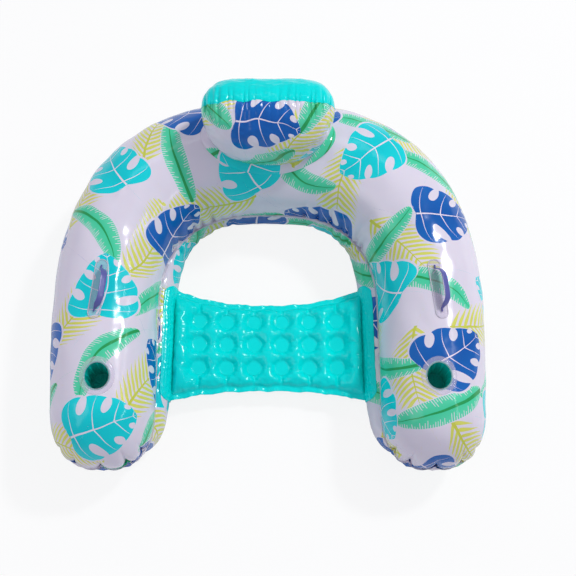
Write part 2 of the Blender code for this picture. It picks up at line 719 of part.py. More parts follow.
def make_headrest():
    """The base lip on the horseshoe and the pillow's two halves, parted along its top seam."""
    crown = place_at(Vector((0, HEADREST_Y, CROWN_Z)), UP, ACROSS)
    outline = ellipse_outline(BASE_HALF_WIDTH, BASE_HALF_DEPTH, SIDES * 2)
    half_height = UPPER_HEIGHT / 2
    base = prism(outline, -half_height, half_height, crown, "headrest_base")
    finished(weld_on(base, upper_skin, BASE_THICKNESS), "printed")

    seam = radians(HEADREST_SEAM_ANGLE)
    normal = Vector((0, sin(seam), -cos(seam)))
    plane = place_at(Vector((0, *headrest_middle(HEADREST_HALF_WIDTH))), normal, ACROSS)
    reach = HEADREST_HALF_WIDTH + OVERRUN
    halves = {}
    for name, way in (("front", -1), ("back", 1)):
        half = headrest_skin(0, "headrest_" + name)
        combine(half, upper_skin(GAP + BASE_THICKNESS + GAP), "DIFFERENCE")
        near, far = sorted((way * GAP / 2, way * reach))
        combine(half, block((-reach, -reach, near), (reach, reach, far), plane), "INTERSECT")
        halves[name] = half
    return halves["front"], halves["back"]


# Valves
def make_valve(name, place, host, skin):
    """A flange on the skin, a stem that slides in it, a plug on its strap and a flap inside."""
    sleeve = VALVE_STEM_RADIUS + VALVE_STEM_CLEARANCE
    ring = [(sleeve, -OVERRUN), (VALVE_FLANGE_RADIUS, -OVERRUN)]
    ring += [(VALVE_FLANGE_RADIUS, OVERRUN), (sleeve, OVERRUN)]
    flange = turned(ring, place, name + "_valve_flange")
    finished(weld_on(flange, skin, VALVE_FLANGE_THICKNESS), "clear")

    pocket = VALVE_STEM_RADIUS + VALVE_POCKET_CLEARANCE
    depth = VALVE_STEM_IN + VALVE_TRAVEL + 2 * FLAP_RADIUS + VALVE_POCKET_MARGIN
    combine(host, prism(ellipse_outline(pocket, pocket), -depth, OVERRUN, place), "DIFFERENCE")
    make_stem(name, place)
    make_plug(name, place)
    make_flap(name, place)


def make_stem(name, place):
    """The tube that is blown into, with the tab that carries the plug's strap."""
    tube = [(VALVE_BORE_RADIUS, -VALVE_STEM_IN), (VALVE_STEM_RADIUS, -VALVE_STEM_IN)]
    tube += [(VALVE_STEM_RADIUS, VALVE_STEM_OUT), (VALVE_BORE_RADIUS, VALVE_STEM_OUT)]
    stem = turned(tube, place, name + "_valve_stem")
    half_strap = PLUG_STRAP_WIDTH / 2
    wall_middle = (VALVE_BORE_RADIUS + VALVE_STEM_RADIUS) / 2
    low = (wall_middle, -half_strap, VALVE_STEM_OUT - TAB_THICKNESS)
    high = (PLUG_HINGE_REACH, half_strap, VALVE_STEM_OUT)
    combine(stem, block(low, high, place), "UNION")
    finished(stem, "clear", place)


def make_plug(name, place):
    """The tapered stopper with its cap, on a strap that bends at the tab's end."""
    mouth = VALVE_STEM_OUT + GAP
    foot = VALVE_STEM_OUT - PLUG_DEPTH
    top = mouth + PLUG_CAP_THICKNESS
    stopper = VALVE_BORE_RADIUS - PLUG_CLEARANCE
    profile = [(0, foot), (stopper - PLUG_TAPER, foot), (stopper, mouth)]
    profile += [(PLUG_CAP_RADIUS, mouth), (PLUG_CAP_RADIUS, top), (0, top)]
    plug = turned(profile, place, name + "_valve_plug")
    half_strap = PLUG_STRAP_WIDTH / 2
    low = (stopper, -half_strap, mouth)
    high = (PLUG_HINGE_REACH, half_strap, mouth + PLUG_STRAP_THICKNESS)
    combine(plug, block(low, high, place), "UNION")
    hinge = Vector((PLUG_HINGE_REACH, 0, mouth))
    finished(plug, "plug", place @ Matrix.Translation(hinge))


def make_flap(name, place):
    """The non-return disc that hangs at the edge of the stem's inner end."""
    seat = -VALVE_STEM_IN - GAP
    disc = [(0, seat - FLAP_THICKNESS), (FLAP_RADIUS, seat - FLAP_THICKNESS)]
    disc += [(FLAP_RADIUS, seat), (0, seat)]
    flap = turned(disc, place, name + "_valve_flap")
    hinge = Vector((FLAP_RADIUS, 0, seat))
    finished(flap, "clear", place @ Matrix.Translation(hinge))


def upper_valve_place():
    """On the rear of the upper chamber, above its widest line."""
    section = arch_section(radians(UPPER_VALVE_ANGLE))
    radius, centre = upper_arc(section.half)
    lift = radians(UPPER_VALVE_LIFT)
    out = section.out.to_3d()
    normal = out * cos(lift) + UP * sin(lift)
    middle = Vector((*section.mid, UPPER_BASE_Z + centre))
    return place_at(middle + normal * radius, normal, UP.cross(out))


def lower_valve_place():
    """On the rear right of the lower chamber, at its widest line."""
    section = arch_section(radians(LOWER_VALVE_ANGLE))
    out = section.out.to_3d()
    middle = Vector((*section.mid, LOWER_HEIGHT / 2))
    return place_at(middle + out * (section.half + LOWER_OUTER_BULGE), out, UP.cross(out))


def headrest_valve_place():
    """Low on the pillow's rear."""
    middle = Vector((HEADREST_VALVE_X, *headrest_middle(HEADREST_VALVE_X)))
    radius = HEADREST_RADIUS * headrest_girth_share(HEADREST_VALVE_X)
    drop_share = (HEADREST_VALVE_DROP / radius) ** HEADREST_FOOT_EXPONENT
    reach = radius * (1 - drop_share) ** (1 / HEADREST_FOOT_EXPONENT)
    return place_at(middle + BACK * reach - UP * HEADREST_VALVE_DROP, BACK, ACROSS)


def seat_valve_place():
    """Under the seat, between four weld dots."""
    x, y = SEAT_VALVE_COLUMN * SEAT_COLUMN_PITCH, SEAT_Y - SEAT_ROW_PITCH / 2
    z = seat_middle_height(x) - seat_half_thickness(x, y)
    return place_at(Vector((x, y, z)), -UP, ACROSS)


def main():
    for item in list(bpy.data.objects):
        bpy.data.objects.remove(item)
    upper = upper_skin(0, "upper_chamber")
    lower = lower_skin(0, "lower_chamber")
    seat = seat_skin(0, "seat_mattress")
    combine(seat, lower_skin(SEAT_WALL_CLEARANCE), "DIFFERENCE")
    front, back = make_headrest()
    make_web()
    for side in SIDE_NAMES:
        make_cup(side, upper)
        make_handle(side)
        make_panel(side)
    make_valve("upper", upper_valve_place(), upper, upper_skin)
    make_valve("lower", lower_valve_place(), lower, lower_skin)
    make_valve("headrest", headrest_valve_place(), back, headrest_skin)
    make_valve("seat", seat_valve_place(), seat, seat_skin)
    for item in (upper, lower, front):
        finished(item, "printed")
    for item in (seat, back):
        finished(item, "turquoise")


main()
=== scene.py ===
# %% [markdown]
# An inflatable pool chair: two air chambers in a horseshoe, a quilted seat slung between the
# arms, and a pillow for the head. The solid model is loaded first and never changed. Everything
# below dresses it: soft skins with welds, pleats and puckers, and a printed PVC film.

# %% Load the solid model as the frame
import json
from math import cos, pi, radians, sin

import bmesh
import bpy
import numpy as np
from mathutils import Matrix, Vector


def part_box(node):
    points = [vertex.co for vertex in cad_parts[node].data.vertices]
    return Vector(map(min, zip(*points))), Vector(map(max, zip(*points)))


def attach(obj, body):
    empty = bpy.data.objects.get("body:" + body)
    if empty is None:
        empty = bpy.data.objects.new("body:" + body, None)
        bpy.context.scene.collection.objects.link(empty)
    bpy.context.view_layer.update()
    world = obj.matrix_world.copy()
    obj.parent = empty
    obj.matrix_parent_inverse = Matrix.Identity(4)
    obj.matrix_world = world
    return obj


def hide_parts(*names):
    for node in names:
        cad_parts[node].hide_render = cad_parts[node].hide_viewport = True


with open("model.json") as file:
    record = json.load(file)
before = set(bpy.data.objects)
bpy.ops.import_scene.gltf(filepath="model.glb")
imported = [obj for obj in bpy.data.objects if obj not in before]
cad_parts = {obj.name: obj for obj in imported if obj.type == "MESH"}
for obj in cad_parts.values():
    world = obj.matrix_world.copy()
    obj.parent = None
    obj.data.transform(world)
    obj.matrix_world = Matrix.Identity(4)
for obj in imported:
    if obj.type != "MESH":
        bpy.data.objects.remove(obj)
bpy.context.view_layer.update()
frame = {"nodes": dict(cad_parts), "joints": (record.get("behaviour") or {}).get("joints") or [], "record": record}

nodes = frame["nodes"]

# %% [markdown]
# The camera stands where the photographer stood: high above the open front, looking down on
# the seat. The frame is square, so the focal length follows from its width in pixels. A small
# sideways shift puts the chair a little left of the middle, as the photograph has it.

# %% Camera
PHOTO_SIZE = 576
FOCAL_PIXELS = 992
SENSOR_MM = 36
CAMERA_DISTANCE = 2.4
CAMERA_ELEVATION = radians(70.5)
CAMERA_TARGET = Vector((0, -0.0293, 0.13))
AXIS_RIGHT_PIXELS = 20

camera_data = bpy.data.cameras.new("camera")
camera_data.sensor_width = SENSOR_MM
camera_data.lens = SENSOR_MM * FOCAL_PIXELS / PHOTO_SIZE
camera_data.shift_x = AXIS_RIGHT_PIXELS / PHOTO_SIZE
camera = bpy.data.objects.new("camera", camera_data)
bpy.context.scene.collection.objects.link(camera)
bpy.context.scene.camera = camera
sight = Vector((0, -cos(CAMERA_ELEVATION), sin(CAMERA_ELEVATION)))
camera.location = CAMERA_TARGET + sight * CAMERA_DISTANCE
camera.rotation_euler = (pi / 2 - CAMERA_ELEVATION, 0, 0)
print("camera: lens %.1f mm" % camera_data.lens)


# %% [markdown]
# Colours are written as the hex values that a paint chart gives, and shaders count in linear
# light, so one function turns one into the other. A second small function adds a shader node,
# sets it and links it, which keeps each material readable from top to bottom.

# %% Helpers for colours and nodes
def linear(hex_colour):
    """An sRGB hex value as linear red, green, blue and alpha."""
    channels = [int(hex_colour[index : index + 2], 16) / 255 for index in (0, 2, 4)]
    knee, slope, offset, gamma = 0.04045, 12.92, 0.055, 2.4
    curve = [c / slope if c <= knee else ((c + offset) / (1 + offset)) ** gamma for c in channels]
    return (*curve, 1)


def add(tree, kind, inputs=None, **settings):
    """Adds a node; inputs maps socket names or numbers to a value or to a socket to link."""
    item = tree.nodes.new(kind)
    for name, value in settings.items():
        setattr(item, name, value)
    for name, value in (inputs or {}).items():
        if isinstance(value, bpy.types.NodeSocket):
            tree.links.new(value, item.inputs[name])
        else:
            item.inputs[name].default_value = value
    return item


def blank_material(name):
    """An empty material and its node tree."""
    material = bpy.data.materials.new(name)
    material.use_nodes = True
    material.node_tree.nodes.clear()
    return material, material.node_tree


def put(name, data):
    """A new object in the scene."""
    item = bpy.data.objects.new(name, data)
    bpy.context.scene.collection.objects.link(item)
    return item



# %% [markdown]
# The studio: a small key lamp high behind on the right, a large soft fill from the left, a strip
# over the back, a narrow lamp that draws the streak down the right arm, and a white surround.
# The floor is nearly white to the camera, still takes a soft shadow, and fades out far away.

# %% Floor, lamps and world
FLOOR_HALF = 30.0
FLOOR_FADE, FLOOR_GLOW = (1.1, 3.2), (0.86, 1.0)
LAMPS = {
    # name: place, size, watts
    "key": ((3.24, 2.24, 5.2), (0.6, 0.6), 174),
    "fill": ((-2.0, -0.7, 2.2), (1.8, 1.8), 14),
    "strip": ((-0.25, 1.6, 2.3), (2.4, 0.35), 4),
    "streak": ((1.75, -0.1, 1.9), (2.2, 0.09), 5.5),
}
WORLD_STRENGTH, WORLD_TINT, WHITE = 0.38, linear("E9EBFF"), linear("FFFFFF")

floor_mesh = bpy.data.meshes.new("floor")
corners = [(x * FLOOR_HALF, y * FLOOR_HALF, 0) for x, y in ((-1, -1), (1, -1), (1, 1), (-1, 1))]
floor_mesh.from_pydata(corners, [], [(0, 1, 2, 3)])
floor = put("floor", floor_mesh)
paper, tree = blank_material("studio_paper")
lit = add(tree, "ShaderNodeBsdfDiffuse", {"Color": WHITE})
white = add(tree, "ShaderNodeEmission", {"Color": WHITE, "Strength": 1})
to_camera = add(tree, "ShaderNodeLightPath").outputs["Is Camera Ray"]
place = add(tree, "ShaderNodeTexCoord")
far = add(tree, "ShaderNodeVectorMath", {0: place.outputs["Object"]}, operation="LENGTH")
limits = dict(enumerate((*FLOOR_FADE, *FLOOR_GLOW), 1))
faded = add(
    tree, "ShaderNodeMapRange", {"Value": far.outputs["Value"], **limits},
    interpolation_type="SMOOTHSTEP",
)
seen = add(tree, "ShaderNodeMath", {0: to_camera, 1: faded.outputs[0]}, operation="MULTIPLY")
shown = add(tree, "ShaderNodeMixShader", {0: seen.outputs[0], 1: lit.outputs[0], 2: white.outputs[0]})
add(tree, "ShaderNodeOutputMaterial", {"Surface": shown.outputs[0]})
floor.data.materials.append(paper)

for name, (place, size, watts) in LAMPS.items():
    lamp_data = bpy.data.lights.new(name, "AREA")
    lamp_data.shape = "RECTANGLE"
    lamp_data.size, lamp_data.size_y = size
    lamp_data.energy = watts
    lamp = put(name, lamp_data)
    lamp.location = place
    lamp.rotation_euler = (CAMERA_TARGET - lamp.location).to_track_quat("-Z", "Y").to_euler()

world = bpy.data.worlds.new("studio")
bpy.context.scene.world = world
world.use_nodes = True
tree = world.node_tree
tree.nodes.clear()
to_camera = add(tree, "ShaderNodeLightPath").outputs["Is Camera Ray"]
strength = add(tree, "ShaderNodeMapRange", {"Value": to_camera, "To Min": WORLD_STRENGTH, "To Max": 1.0})
tone = add(tree, "ShaderNodeMix", {"Factor": to_camera, 6: WORLD_TINT, 7: WHITE}, data_type="RGBA")
sky = add(tree, "ShaderNodeBackground", {"Color": tone.outputs[2], "Strength": strength.outputs[0]})
add(tree, "ShaderNodeOutputWorld", {"Surface": sky.outputs[0]})
bpy.context.scene.view_settings.view_transform = "Standard"
print("studio:", len(LAMPS), "lamps")

# %% [markdown]
# The print on the film is a loose scatter of tropical leaves. One node group draws any leaf
# from a few numbers: a midrib along X, a margin that swells and tapers, side veins that sweep
# forward, and slots that open between the veins. Split leaves, long leaves and palm fronds are
# only different numbers. A lattice of cells, with a random turn and nudge in each, lays one
# leaf of each kind in every cell, so the print never repeats.

# %% The leaf as a node group
LEAF_INPUTS = {
    # socket: starting value
    "Place X": 0.5, "Place Y": 0.5, "Seed": 0.0, "Jitter": 0.1, "Length": 0.16,
    "Width": 0.8, "Taper": 0.6, "Base Weight": 0.3, "Veins": 5.0, "Sweep": 0.8,
    "Slot": 0.5, "Slot Start": 0.3, "Slot Power": 0.5, "Slot Close": 0.0, "Root": 0.0, "Lobing": 0.2,
    "Vein": 0.1, "Midrib": 0.05, "Bend": 0.3, "Fan": 0.0, "Curl": 0.0, "Heart": 0.0, "Ragged": 0.0,
}
CELL = 0.31
CENTRE = (0.5, 0.5, 0.5)

leaf = bpy.data.node_groups.new("leaf", "ShaderNodeTree")
leaf.interface.new_socket("Vector", in_out="INPUT", socket_type="NodeSocketVector")
for name, value in LEAF_INPUTS.items():
    socket = leaf.interface.new_socket(name, in_out="INPUT", socket_type="NodeSocketFloat")
    socket.default_value = value
for name in ("Leaf", "Vein", "Midrib", "Shade", "Halo"):
    leaf.interface.new_socket(name, in_out="OUTPUT", socket_type="NodeSocketFloat")

given = add(leaf, "NodeGroupInput")
spot = add(leaf, "ShaderNodeCombineXYZ", {0: given.outputs["Place X"], 1: given.outputs["Place Y"]})
scaled = {0: given.outputs["Vector"], "Scale": 1 / CELL}
in_cells = add(leaf, "ShaderNodeVectorMath", scaled, operation="SCALE").outputs[0]
shift = {0: in_cells, 1: spot.outputs[0]}
moved = add(leaf, "ShaderNodeVectorMath", shift, operation="SUBTRACT").outputs[0]
middle = add(leaf, "ShaderNodeVectorMath", {0: moved, 1: CENTRE}, operation="ADD").outputs[0]
cell = add(leaf, "ShaderNodeVectorMath", {0: middle}, operation="FLOOR").outputs[0]
inside = add(leaf, "ShaderNodeVectorMath", {0: moved, 1: cell}, operation="SUBTRACT").outputs[0]
seeded = add(leaf, "ShaderNodeCombineXYZ", {2: given.outputs["Seed"]}).outputs[0]
key = add(leaf, "ShaderNodeVectorMath", {0: cell, 1: seeded}, operation="ADD").outputs[0]
chance = add(leaf, "ShaderNodeTexWhiteNoise", {"Vector": key}, noise_dimensions="3D")
about_half = {0: chance.outputs["Color"], 1: CENTRE}
centred = add(leaf, "ShaderNodeVectorMath", about_half, operation="SUBTRACT").outputs[0]
scaled = {0: centred, "Scale": given.outputs["Jitter"]}
nudge = add(leaf, "ShaderNodeVectorMath", scaled, operation="SCALE").outputs[0]
local = add(leaf, "ShaderNodeVectorMath", {0: inside, 1: nudge}, operation="SUBTRACT").outputs[0]
turn = add(leaf, "ShaderNodeMath", {0: chance.outputs["Value"], 1: 2 * pi}, operation="MULTIPLY")
whole_turn = {"Vector": local, "Angle": turn.outputs[0]}
turned = add(leaf, "ShaderNodeVectorRotate", whole_turn, rotation_type="Z_AXIS").outputs[0]
scale = add(leaf, "ShaderNodeMath", {0: 2 * CELL, 1: given.outputs["Length"]}, operation="DIVIDE")
scaled = {0: turned, "Scale": scale.outputs[0]}
own = add(leaf, "ShaderNodeVectorMath", scaled, operation="SCALE").outputs[0]
axes = add(leaf, "ShaderNodeSeparateXYZ", {0: own})
lean = add(leaf, "ShaderNodeSeparateXYZ", {0: centred})
terms = {name: given.outputs[name] for name in LEAF_INPUTS}
terms.update(x=axes.outputs[0], y_flat=axes.outputs[1], lean=lean.outputs[2])
LEAF_STEPS = [
    # the result's name, the operation, then its terms
    ("x2", "MULTIPLY", "x", "x"),
    ("bow", "MULTIPLY", "x2", "Bend"),
    ("bow_lean", "MULTIPLY", "bow", "lean"),
    ("y", "ADD", "y_flat", "bow_lean"),
    ("across", "ABSOLUTE", "y"),
    ("outline_x", "MULTIPLY_ADD", "across", "Heart", "x"),
    ("outline_x2", "MULTIPLY", "outline_x", "outline_x"),
    ("left", "SUBTRACT", 1, "outline_x2"),
    ("room", "MAXIMUM", "left", 0),
    ("tapered", "POWER", "room", "Taper"),
    ("weight", "MULTIPLY_ADD", "outline_x", "Base Weight", 1),
    ("half", "MULTIPLY", "tapered", "weight"),
    ("margin", "MULTIPLY", "half", "Width"),
    ("safe", "MAXIMUM", "margin", 0.001),
    ("share", "DIVIDE", "across", "safe"),
    ("fanned", "MULTIPLY_ADD", "x", "Fan", "Sweep"),
    ("curl", "MULTIPLY_ADD", "across", "Curl", "fanned"),
    ("along", "MULTIPLY_ADD", "across", "curl", "x"),
    ("paced", "MULTIPLY", "along", "Veins"),
    ("phase", "FRACT", "paced"),
    ("offset", "SUBTRACT", "phase", 0.5),
    ("apart", "ABSOLUTE", "offset"),
    ("off_vein", "MULTIPLY", "apart", 2),
    ("off2", "POWER", "off_vein", 2.5),
    ("lobe", "MULTIPLY", "off2", "Lobing"),
    ("reach", "SUBTRACT", 1, "lobe"),
    ("in_margin", "LESS_THAN", "share", "reach"),
    ("half_on", "ADD", "paced", 0.5),
    ("number", "FLOOR", "half_on"),
    ("side", "SIGN", "y"),
    ("slot_key", "MULTIPLY_ADD", "side", 0.37, "number"),
    ("spun", "MULTIPLY", "slot_key", 12.99),
    ("sine", "SINE", "spun"),
    ("large", "MULTIPLY", "sine", 437.6),
    ("luck", "FRACT", "large"),
    ("start", "MULTIPLY_ADD", "luck", "Ragged", "Slot Start"),
    ("beyond", "SUBTRACT", "share", "start"),
    ("slot_room", "SUBTRACT", 1, "start"),
    ("slot_along", "DIVIDE", "beyond", "slot_room"),
    ("open", "MAXIMUM", "slot_along", 0),
    ("widening", "POWER", "open", "Slot Power"),
    ("closing", "MULTIPLY", "open", "Slot Close"),
    ("mouth", "SUBTRACT", 1, "closing"),
    ("slot_shape", "MULTIPLY", "widening", "mouth"),
    ("slot", "MULTIPLY", "slot_shape", "Slot"),
    ("to_margin", "SUBTRACT", 1, "share"),
    ("near_rib", "MAXIMUM", "to_margin", 0),
    ("near_rib3", "POWER", "near_rib", 3),
    ("root", "MULTIPLY", "near_rib3", "Root"),
    ("narrowed", "ADD", "slot", "root"),
    ("solid", "SUBTRACT", 1, "narrowed"),
    ("off_slot", "LESS_THAN", "off_vein", "solid"),
    ("leaf", "MULTIPLY", "in_margin", "off_slot"),
    ("thin", "SUBTRACT", 1.05, "share"),
    ("vein_width", "MULTIPLY", "thin", "Vein"),
    ("on_vein", "LESS_THAN", "off_vein", "vein_width"),
    ("rib_taper", "SUBTRACT", 1.15, "x"),
    ("rib_width", "MULTIPLY", "rib_taper", "Midrib"),
    ("on_rib", "LESS_THAN", "across", "rib_width"),
    ("stem_end", "LESS_THAN", "x2", 0.985),
    ("rib", "MULTIPLY", "on_rib", "stem_end"),
    ("halo_reach", "ADD", "reach", 0.07),
    ("halo", "LESS_THAN", "share", "halo_reach"),
]
for name, operation, *wanted in LEAF_STEPS:
    inputs = {index: terms.get(term, term) for index, term in enumerate(wanted)}
    terms[name] = add(leaf, "ShaderNodeMath", inputs, operation=operation).outputs[0]
results = {"Leaf": "leaf", "Vein": "on_vein", "Midrib": "rib", "Shade": "share", "Halo": "halo"}
add(leaf, "NodeGroupOutput", {socket: terms[name] for socket, name in results.items()})
print("leaf group:", len(leaf.nodes), "nodes")

# %% [markdown]
# Soft PVC film is smooth and glossy, and a little light passes into it. Calendering leaves a
# faint orange peel about a millimetre across, which breaks up the edges of reflections. The
# printed film is white with a breath of lilac, and each leaf is laid over those before it.

# %% Printed PVC film
FROND = {
    "Length": 0.215, "Width": 0.5, "Taper": 0.45, "Base Weight": 0.1, "Veins": 8, "Sweep": -0.6,
    "Slot": 0.93, "Slot Start": 0.0, "Slot Power": 1.6, "Root": 0.75, "Lobing": 0.1, "Vein": 0.0,
    "Midrib": 0.015, "Bend": 0.6, "Jitter": 0.14, "Curl": -0.5,
}
LONG_LEAF = {
    "Length": 0.205, "Width": 0.26, "Taper": 0.42, "Base Weight": 0.0, "Veins": 20, "Sweep": -0.3,
    "Slot": 0.32, "Slot Start": 0.34, "Slot Power": 0.12, "Slot Close": 0.1, "Lobing": 0.05,
    "Vein": 0.0, "Midrib": 0.02, "Bend": 0.8, "Jitter": 0.14, "Ragged": 0.55,
}
SPLIT_LEAF = {
    "Length": 0.148, "Width": 0.98, "Taper": 0.5, "Base Weight": -0.2, "Veins": 1.75, "Sweep": -0.36,
    "Slot": 1.05, "Slot Start": 0.3, "Slot Power": 0.55, "Slot Close": 0.9,
    "Lobing": 0.1, "Vein": 0.05, "Midrib": 0.014, "Bend": 0.35, "Jitter": 0.12,
    "Fan": -0.42, "Curl": -0.14, "Heart": 0.34, "Ragged": 0.22,
}
LEAF_KINDS = [
    # colour, lighter colour, veins' colour, ribs' colour, place in its cell, seed, shape
    ("DDE05E", "E6E678", None, "D2D656", (0.08, 0.12), 3, FROND),
    ("DDE05E", "E6E678", None, "D2D656", (0.58, 0.55), 11, FROND),
    ("46D8A4", "66E2B6", None, "2CA45A", (0.80, 0.18), 5, LONG_LEAF),
    ("46D8A4", "66E2B6", None, "2CA45A", (0.25, 0.80), 23, LONG_LEAF),
    ("00D4DA", "14E0E4", "F3E6F2", "F3E6F2", (0.78, 0.80), 31, SPLIT_LEAF),
    ("0E5CB0", "1A6CC0", "F3E6F2", "F3E6F2", (0.30, 0.30), 43, SPLIT_LEAF),
]
FILM_WHITE = linear("E9E2EE")
INK_WAVES, INK_DRIFT = 14, 0.012
ORANGE_PEEL, PEEL_STRENGTH, PEEL_DEPTH = 0.0011, 0.07, 0.0002
PVC_IOR = 1.53


def film_surface(tree, colour, roughness, **sockets):
    """Glossy soft PVC with its orange peel; colour is a socket or a linear colour."""
    place = add(tree, "ShaderNodeTexCoord").outputs["Object"]
    peel = add(tree, "ShaderNodeTexNoise", {"Vector": place, "Scale": 1 / ORANGE_PEEL, "Detail": 1})
    rise = {"Strength": PEEL_STRENGTH, "Distance": PEEL_DEPTH, "Height": peel.outputs[0]}
    bump = add(tree, "ShaderNodeBump", rise)
    wanted = {"Base Color": colour, "Roughness": roughness, "IOR": PVC_IOR, "Normal": bump.outputs[0]}
    shader = add(tree, "ShaderNodeBsdfPrincipled", {**wanted, **sockets})
    add(tree, "ShaderNodeOutputMaterial", {"Surface": shader.outputs[0]})


printed_film, tree = blank_material("calendered_pvc_film_leaf_print")
surface = add(tree, "ShaderNodeUVMap", uv_map="film").outputs[0]
waver = add(tree, "ShaderNodeTexNoise", {"Vector": surface, "Scale": INK_WAVES, "Detail": 1})
about_half = {0: waver.outputs["Color"], 1: CENTRE}
drift = add(tree, "ShaderNodeVectorMath", about_half, operation="SUBTRACT").outputs[0]
soft_edge = add(tree, "ShaderNodeVectorMath", {0: drift, "Scale": INK_DRIFT}, operation="SCALE")
shift = {0: surface, 1: soft_edge.outputs[0]}
wavy = add(tree, "ShaderNodeVectorMath", shift, operation="ADD").outputs[0]
colour = FILM_WHITE
for body_hex, light_hex, vein_hex, rib_hex, spot, seed, shape in LEAF_KINDS:
    numbers = {"Vector": wavy, "Place X": spot[0], "Place Y": spot[1], "Seed": seed, **shape}
    drawn = add(tree, "ShaderNodeGroup", {**LEAF_INPUTS, **numbers}, node_tree=leaf).outputs
    shade = {"Factor": drawn["Shade"], 6: linear(body_hex), 7: linear(light_hex)}
    tint = add(tree, "ShaderNodeMix", shade, data_type="RGBA").outputs[2]
    if vein_hex:
        veins = {"Factor": drawn["Vein"], 6: tint, 7: linear(vein_hex)}
        tint = add(tree, "ShaderNodeMix", veins, data_type="RGBA").outputs[2]
    inks = [("Leaf", tint), ("Midrib", linear(rib_hex))]
    if shape is not FROND:
        inks = [("Halo", FILM_WHITE)] + inks
    for part, ink in inks:
        laid = {"Factor": drawn[part], 6: colour, 7: ink}
        colour = add(tree, "ShaderNodeMix", laid, data_type="RGBA").outputs[2]
film_surface(
    tree, colour, 0.14,
    **{"Subsurface Weight": 0.06, "Subsurface Scale": 0.01, "Specular IOR Level": 0.34},
)

turquoise_film, tree = blank_material("calendered_pvc_film_turquoise")
place = add(tree, "ShaderNodeTexCoord")
cloudy = add(tree, "ShaderNodeTexNoise", {"Vector": place.outputs["Object"], "Scale": 9, "Detail": 2})
cloud = {"Factor": cloudy.outputs[0], 6: linear("00E6E0"), 7: linear("00F0EB")}
tint = add(tree, "ShaderNodeMix", cloud, data_type="RGBA").outputs[2]
film_surface(tree, tint, 0.15, **{"Specular IOR Level": 0.2})

PLAIN_FILMS = {
    # name: colour, roughness, other sockets
    # The cup holders' bags are turquoise film, painted a deeper teal for the shade that falls inside the wells.
    "calendered_pvc_film_folded_teal": ("00C8BC", 0.16, {"Specular IOR Level": 0.3}),
    # Sheet cut to rings and pads: the print shows through, and only glints tell that it is there.
    "cut_clear_vinyl": ("EEE8F6", 0.1, {"Alpha": 0.22}),
    # Straps pressed between plates have a satin face; the clear vinyl is painted violet for the shade in the gap
    # beneath each strap, and is thick enough to soften the light inside.
    "pressed_violet_vinyl": ("6264AC", 0.24, {"Subsurface Weight": 0.1, "Subsurface Scale": 0.002}),
    # The unprinted sheet between the chambers: pale and milky at its cut edge.
    "milky_clear_vinyl_sheet": ("F1ECF8", 0.22, {"Transmission Weight": 0.3}),
    # The valves come out of a mould with a dull skin, and light passes through their thin walls.
    "moulded_translucent_vinyl": ("C9C5DE", 0.3, {"Transmission Weight": 0.3}),
}
plain_films = []
for name, (film_hex, roughness, sockets) in PLAIN_FILMS.items():
    material, tree = blank_material(name)
    film_surface(tree, linear(film_hex), roughness, **sockets)
    plain_films.append(material)
well_shade_film, clear_vinyl, strap_gap_shade_vinyl, web_vinyl, moulded_vinyl = plain_films
print("materials:", [m.name for m in bpy.data.materials if "vinyl" in m.name or "pvc" in m.name])

# %% [markdown]
# The horseshoe in plan: the seams follow superellipses round the back and run on as two nearly
# straight arms to blunt tips. A ray leaves the tube's middle line for each step along the
# seam, out on one side, round the tip and back on the other, so all rays make one closed loop.
# Both chambers, the sheet between them and the end bands are drawn on these rays.

# %% Plan of the horseshoe
ARCH_CENTRE_Y = -0.10
SEAM_OUTER_HALF_WIDTH = 0.505145
SEAM_OUTER_REACH = 0.561
SEAM_INNER_HALF_WIDTH = 0.267145
SEAM_INNER_REACH = 0.271
WALL_HALF_WIDTH = 0.227145
WALL_REACH = 0.273
OUTER_EXPONENT, INNER_EXPONENT, WALL_EXPONENT, TIP_EXPONENT = 2.5, 2.6, 3.0, 2.7
ARM_TAPER = 0.014
TIP_Y = -0.33146
TIP_LENGTH = 0.132
LOWER_OUTER_BULGE, LOWER_ARM_BULGE, ARM_BULGE_FALL = 0.004, 0.040, 0.015
LOWER_TIP_BULGE, LOWER_TIP_EASE = -0.040, 1.2
LOWER_HEIGHT, UPPER_BASE_Z, UPPER_HEIGHT = 0.110, 0.1116, 0.158
REST_CUT = 0.0005
CROWN_Z = UPPER_BASE_Z + UPPER_HEIGHT
ARCH_RAYS, ARM_RAYS, TIP_RAYS = 220, 46, 132
FORWARD = np.array([0.0, -1.0])


def superellipse(angle, half_width, reach, exponent):
    """Distance from the arch's centre to a superellipse."""
    across = (np.abs(np.cos(angle)) / half_width) ** exponent
    along = (np.abs(np.sin(angle)) / reach) ** exponent
    return (across + along) ** (-1 / exponent)


def arch_sections(angle):
    """Middle, way out, half width and inner bulge of the tube's sections round the back."""
    outer = superellipse(angle, SEAM_OUTER_HALF_WIDTH, SEAM_OUTER_REACH, OUTER_EXPONENT)
    inner = superellipse(angle, SEAM_INNER_HALF_WIDTH, SEAM_INNER_REACH, INNER_EXPONENT)
    wall = superellipse(angle, WALL_HALF_WIDTH, WALL_REACH, WALL_EXPONENT)
    out = np.stack([np.cos(angle), np.sin(angle)], 1)
    mid = out * ((inner + outer) / 2)[:, None] + [0, ARCH_CENTRE_Y]
    return mid, out, (outer - inner) / 2, inner - wall


def arm_sections(side, y):
    """The same along an arm, for places y from the arch to the tip."""
    share = (ARCH_CENTRE_Y - y) / (ARCH_CENTRE_Y - TIP_Y)
    outer = SEAM_OUTER_HALF_WIDTH - ARM_TAPER * share**2
    mid = np.stack([side * (SEAM_INNER_HALF_WIDTH + outer) / 2, y], 1)
    out = np.tile([float(side), 0.0], (len(y), 1))
    return mid, out, (outer - SEAM_INNER_HALF_WIDTH) / 2, LOWER_ARM_BULGE - ARM_BULGE_FALL * share**3


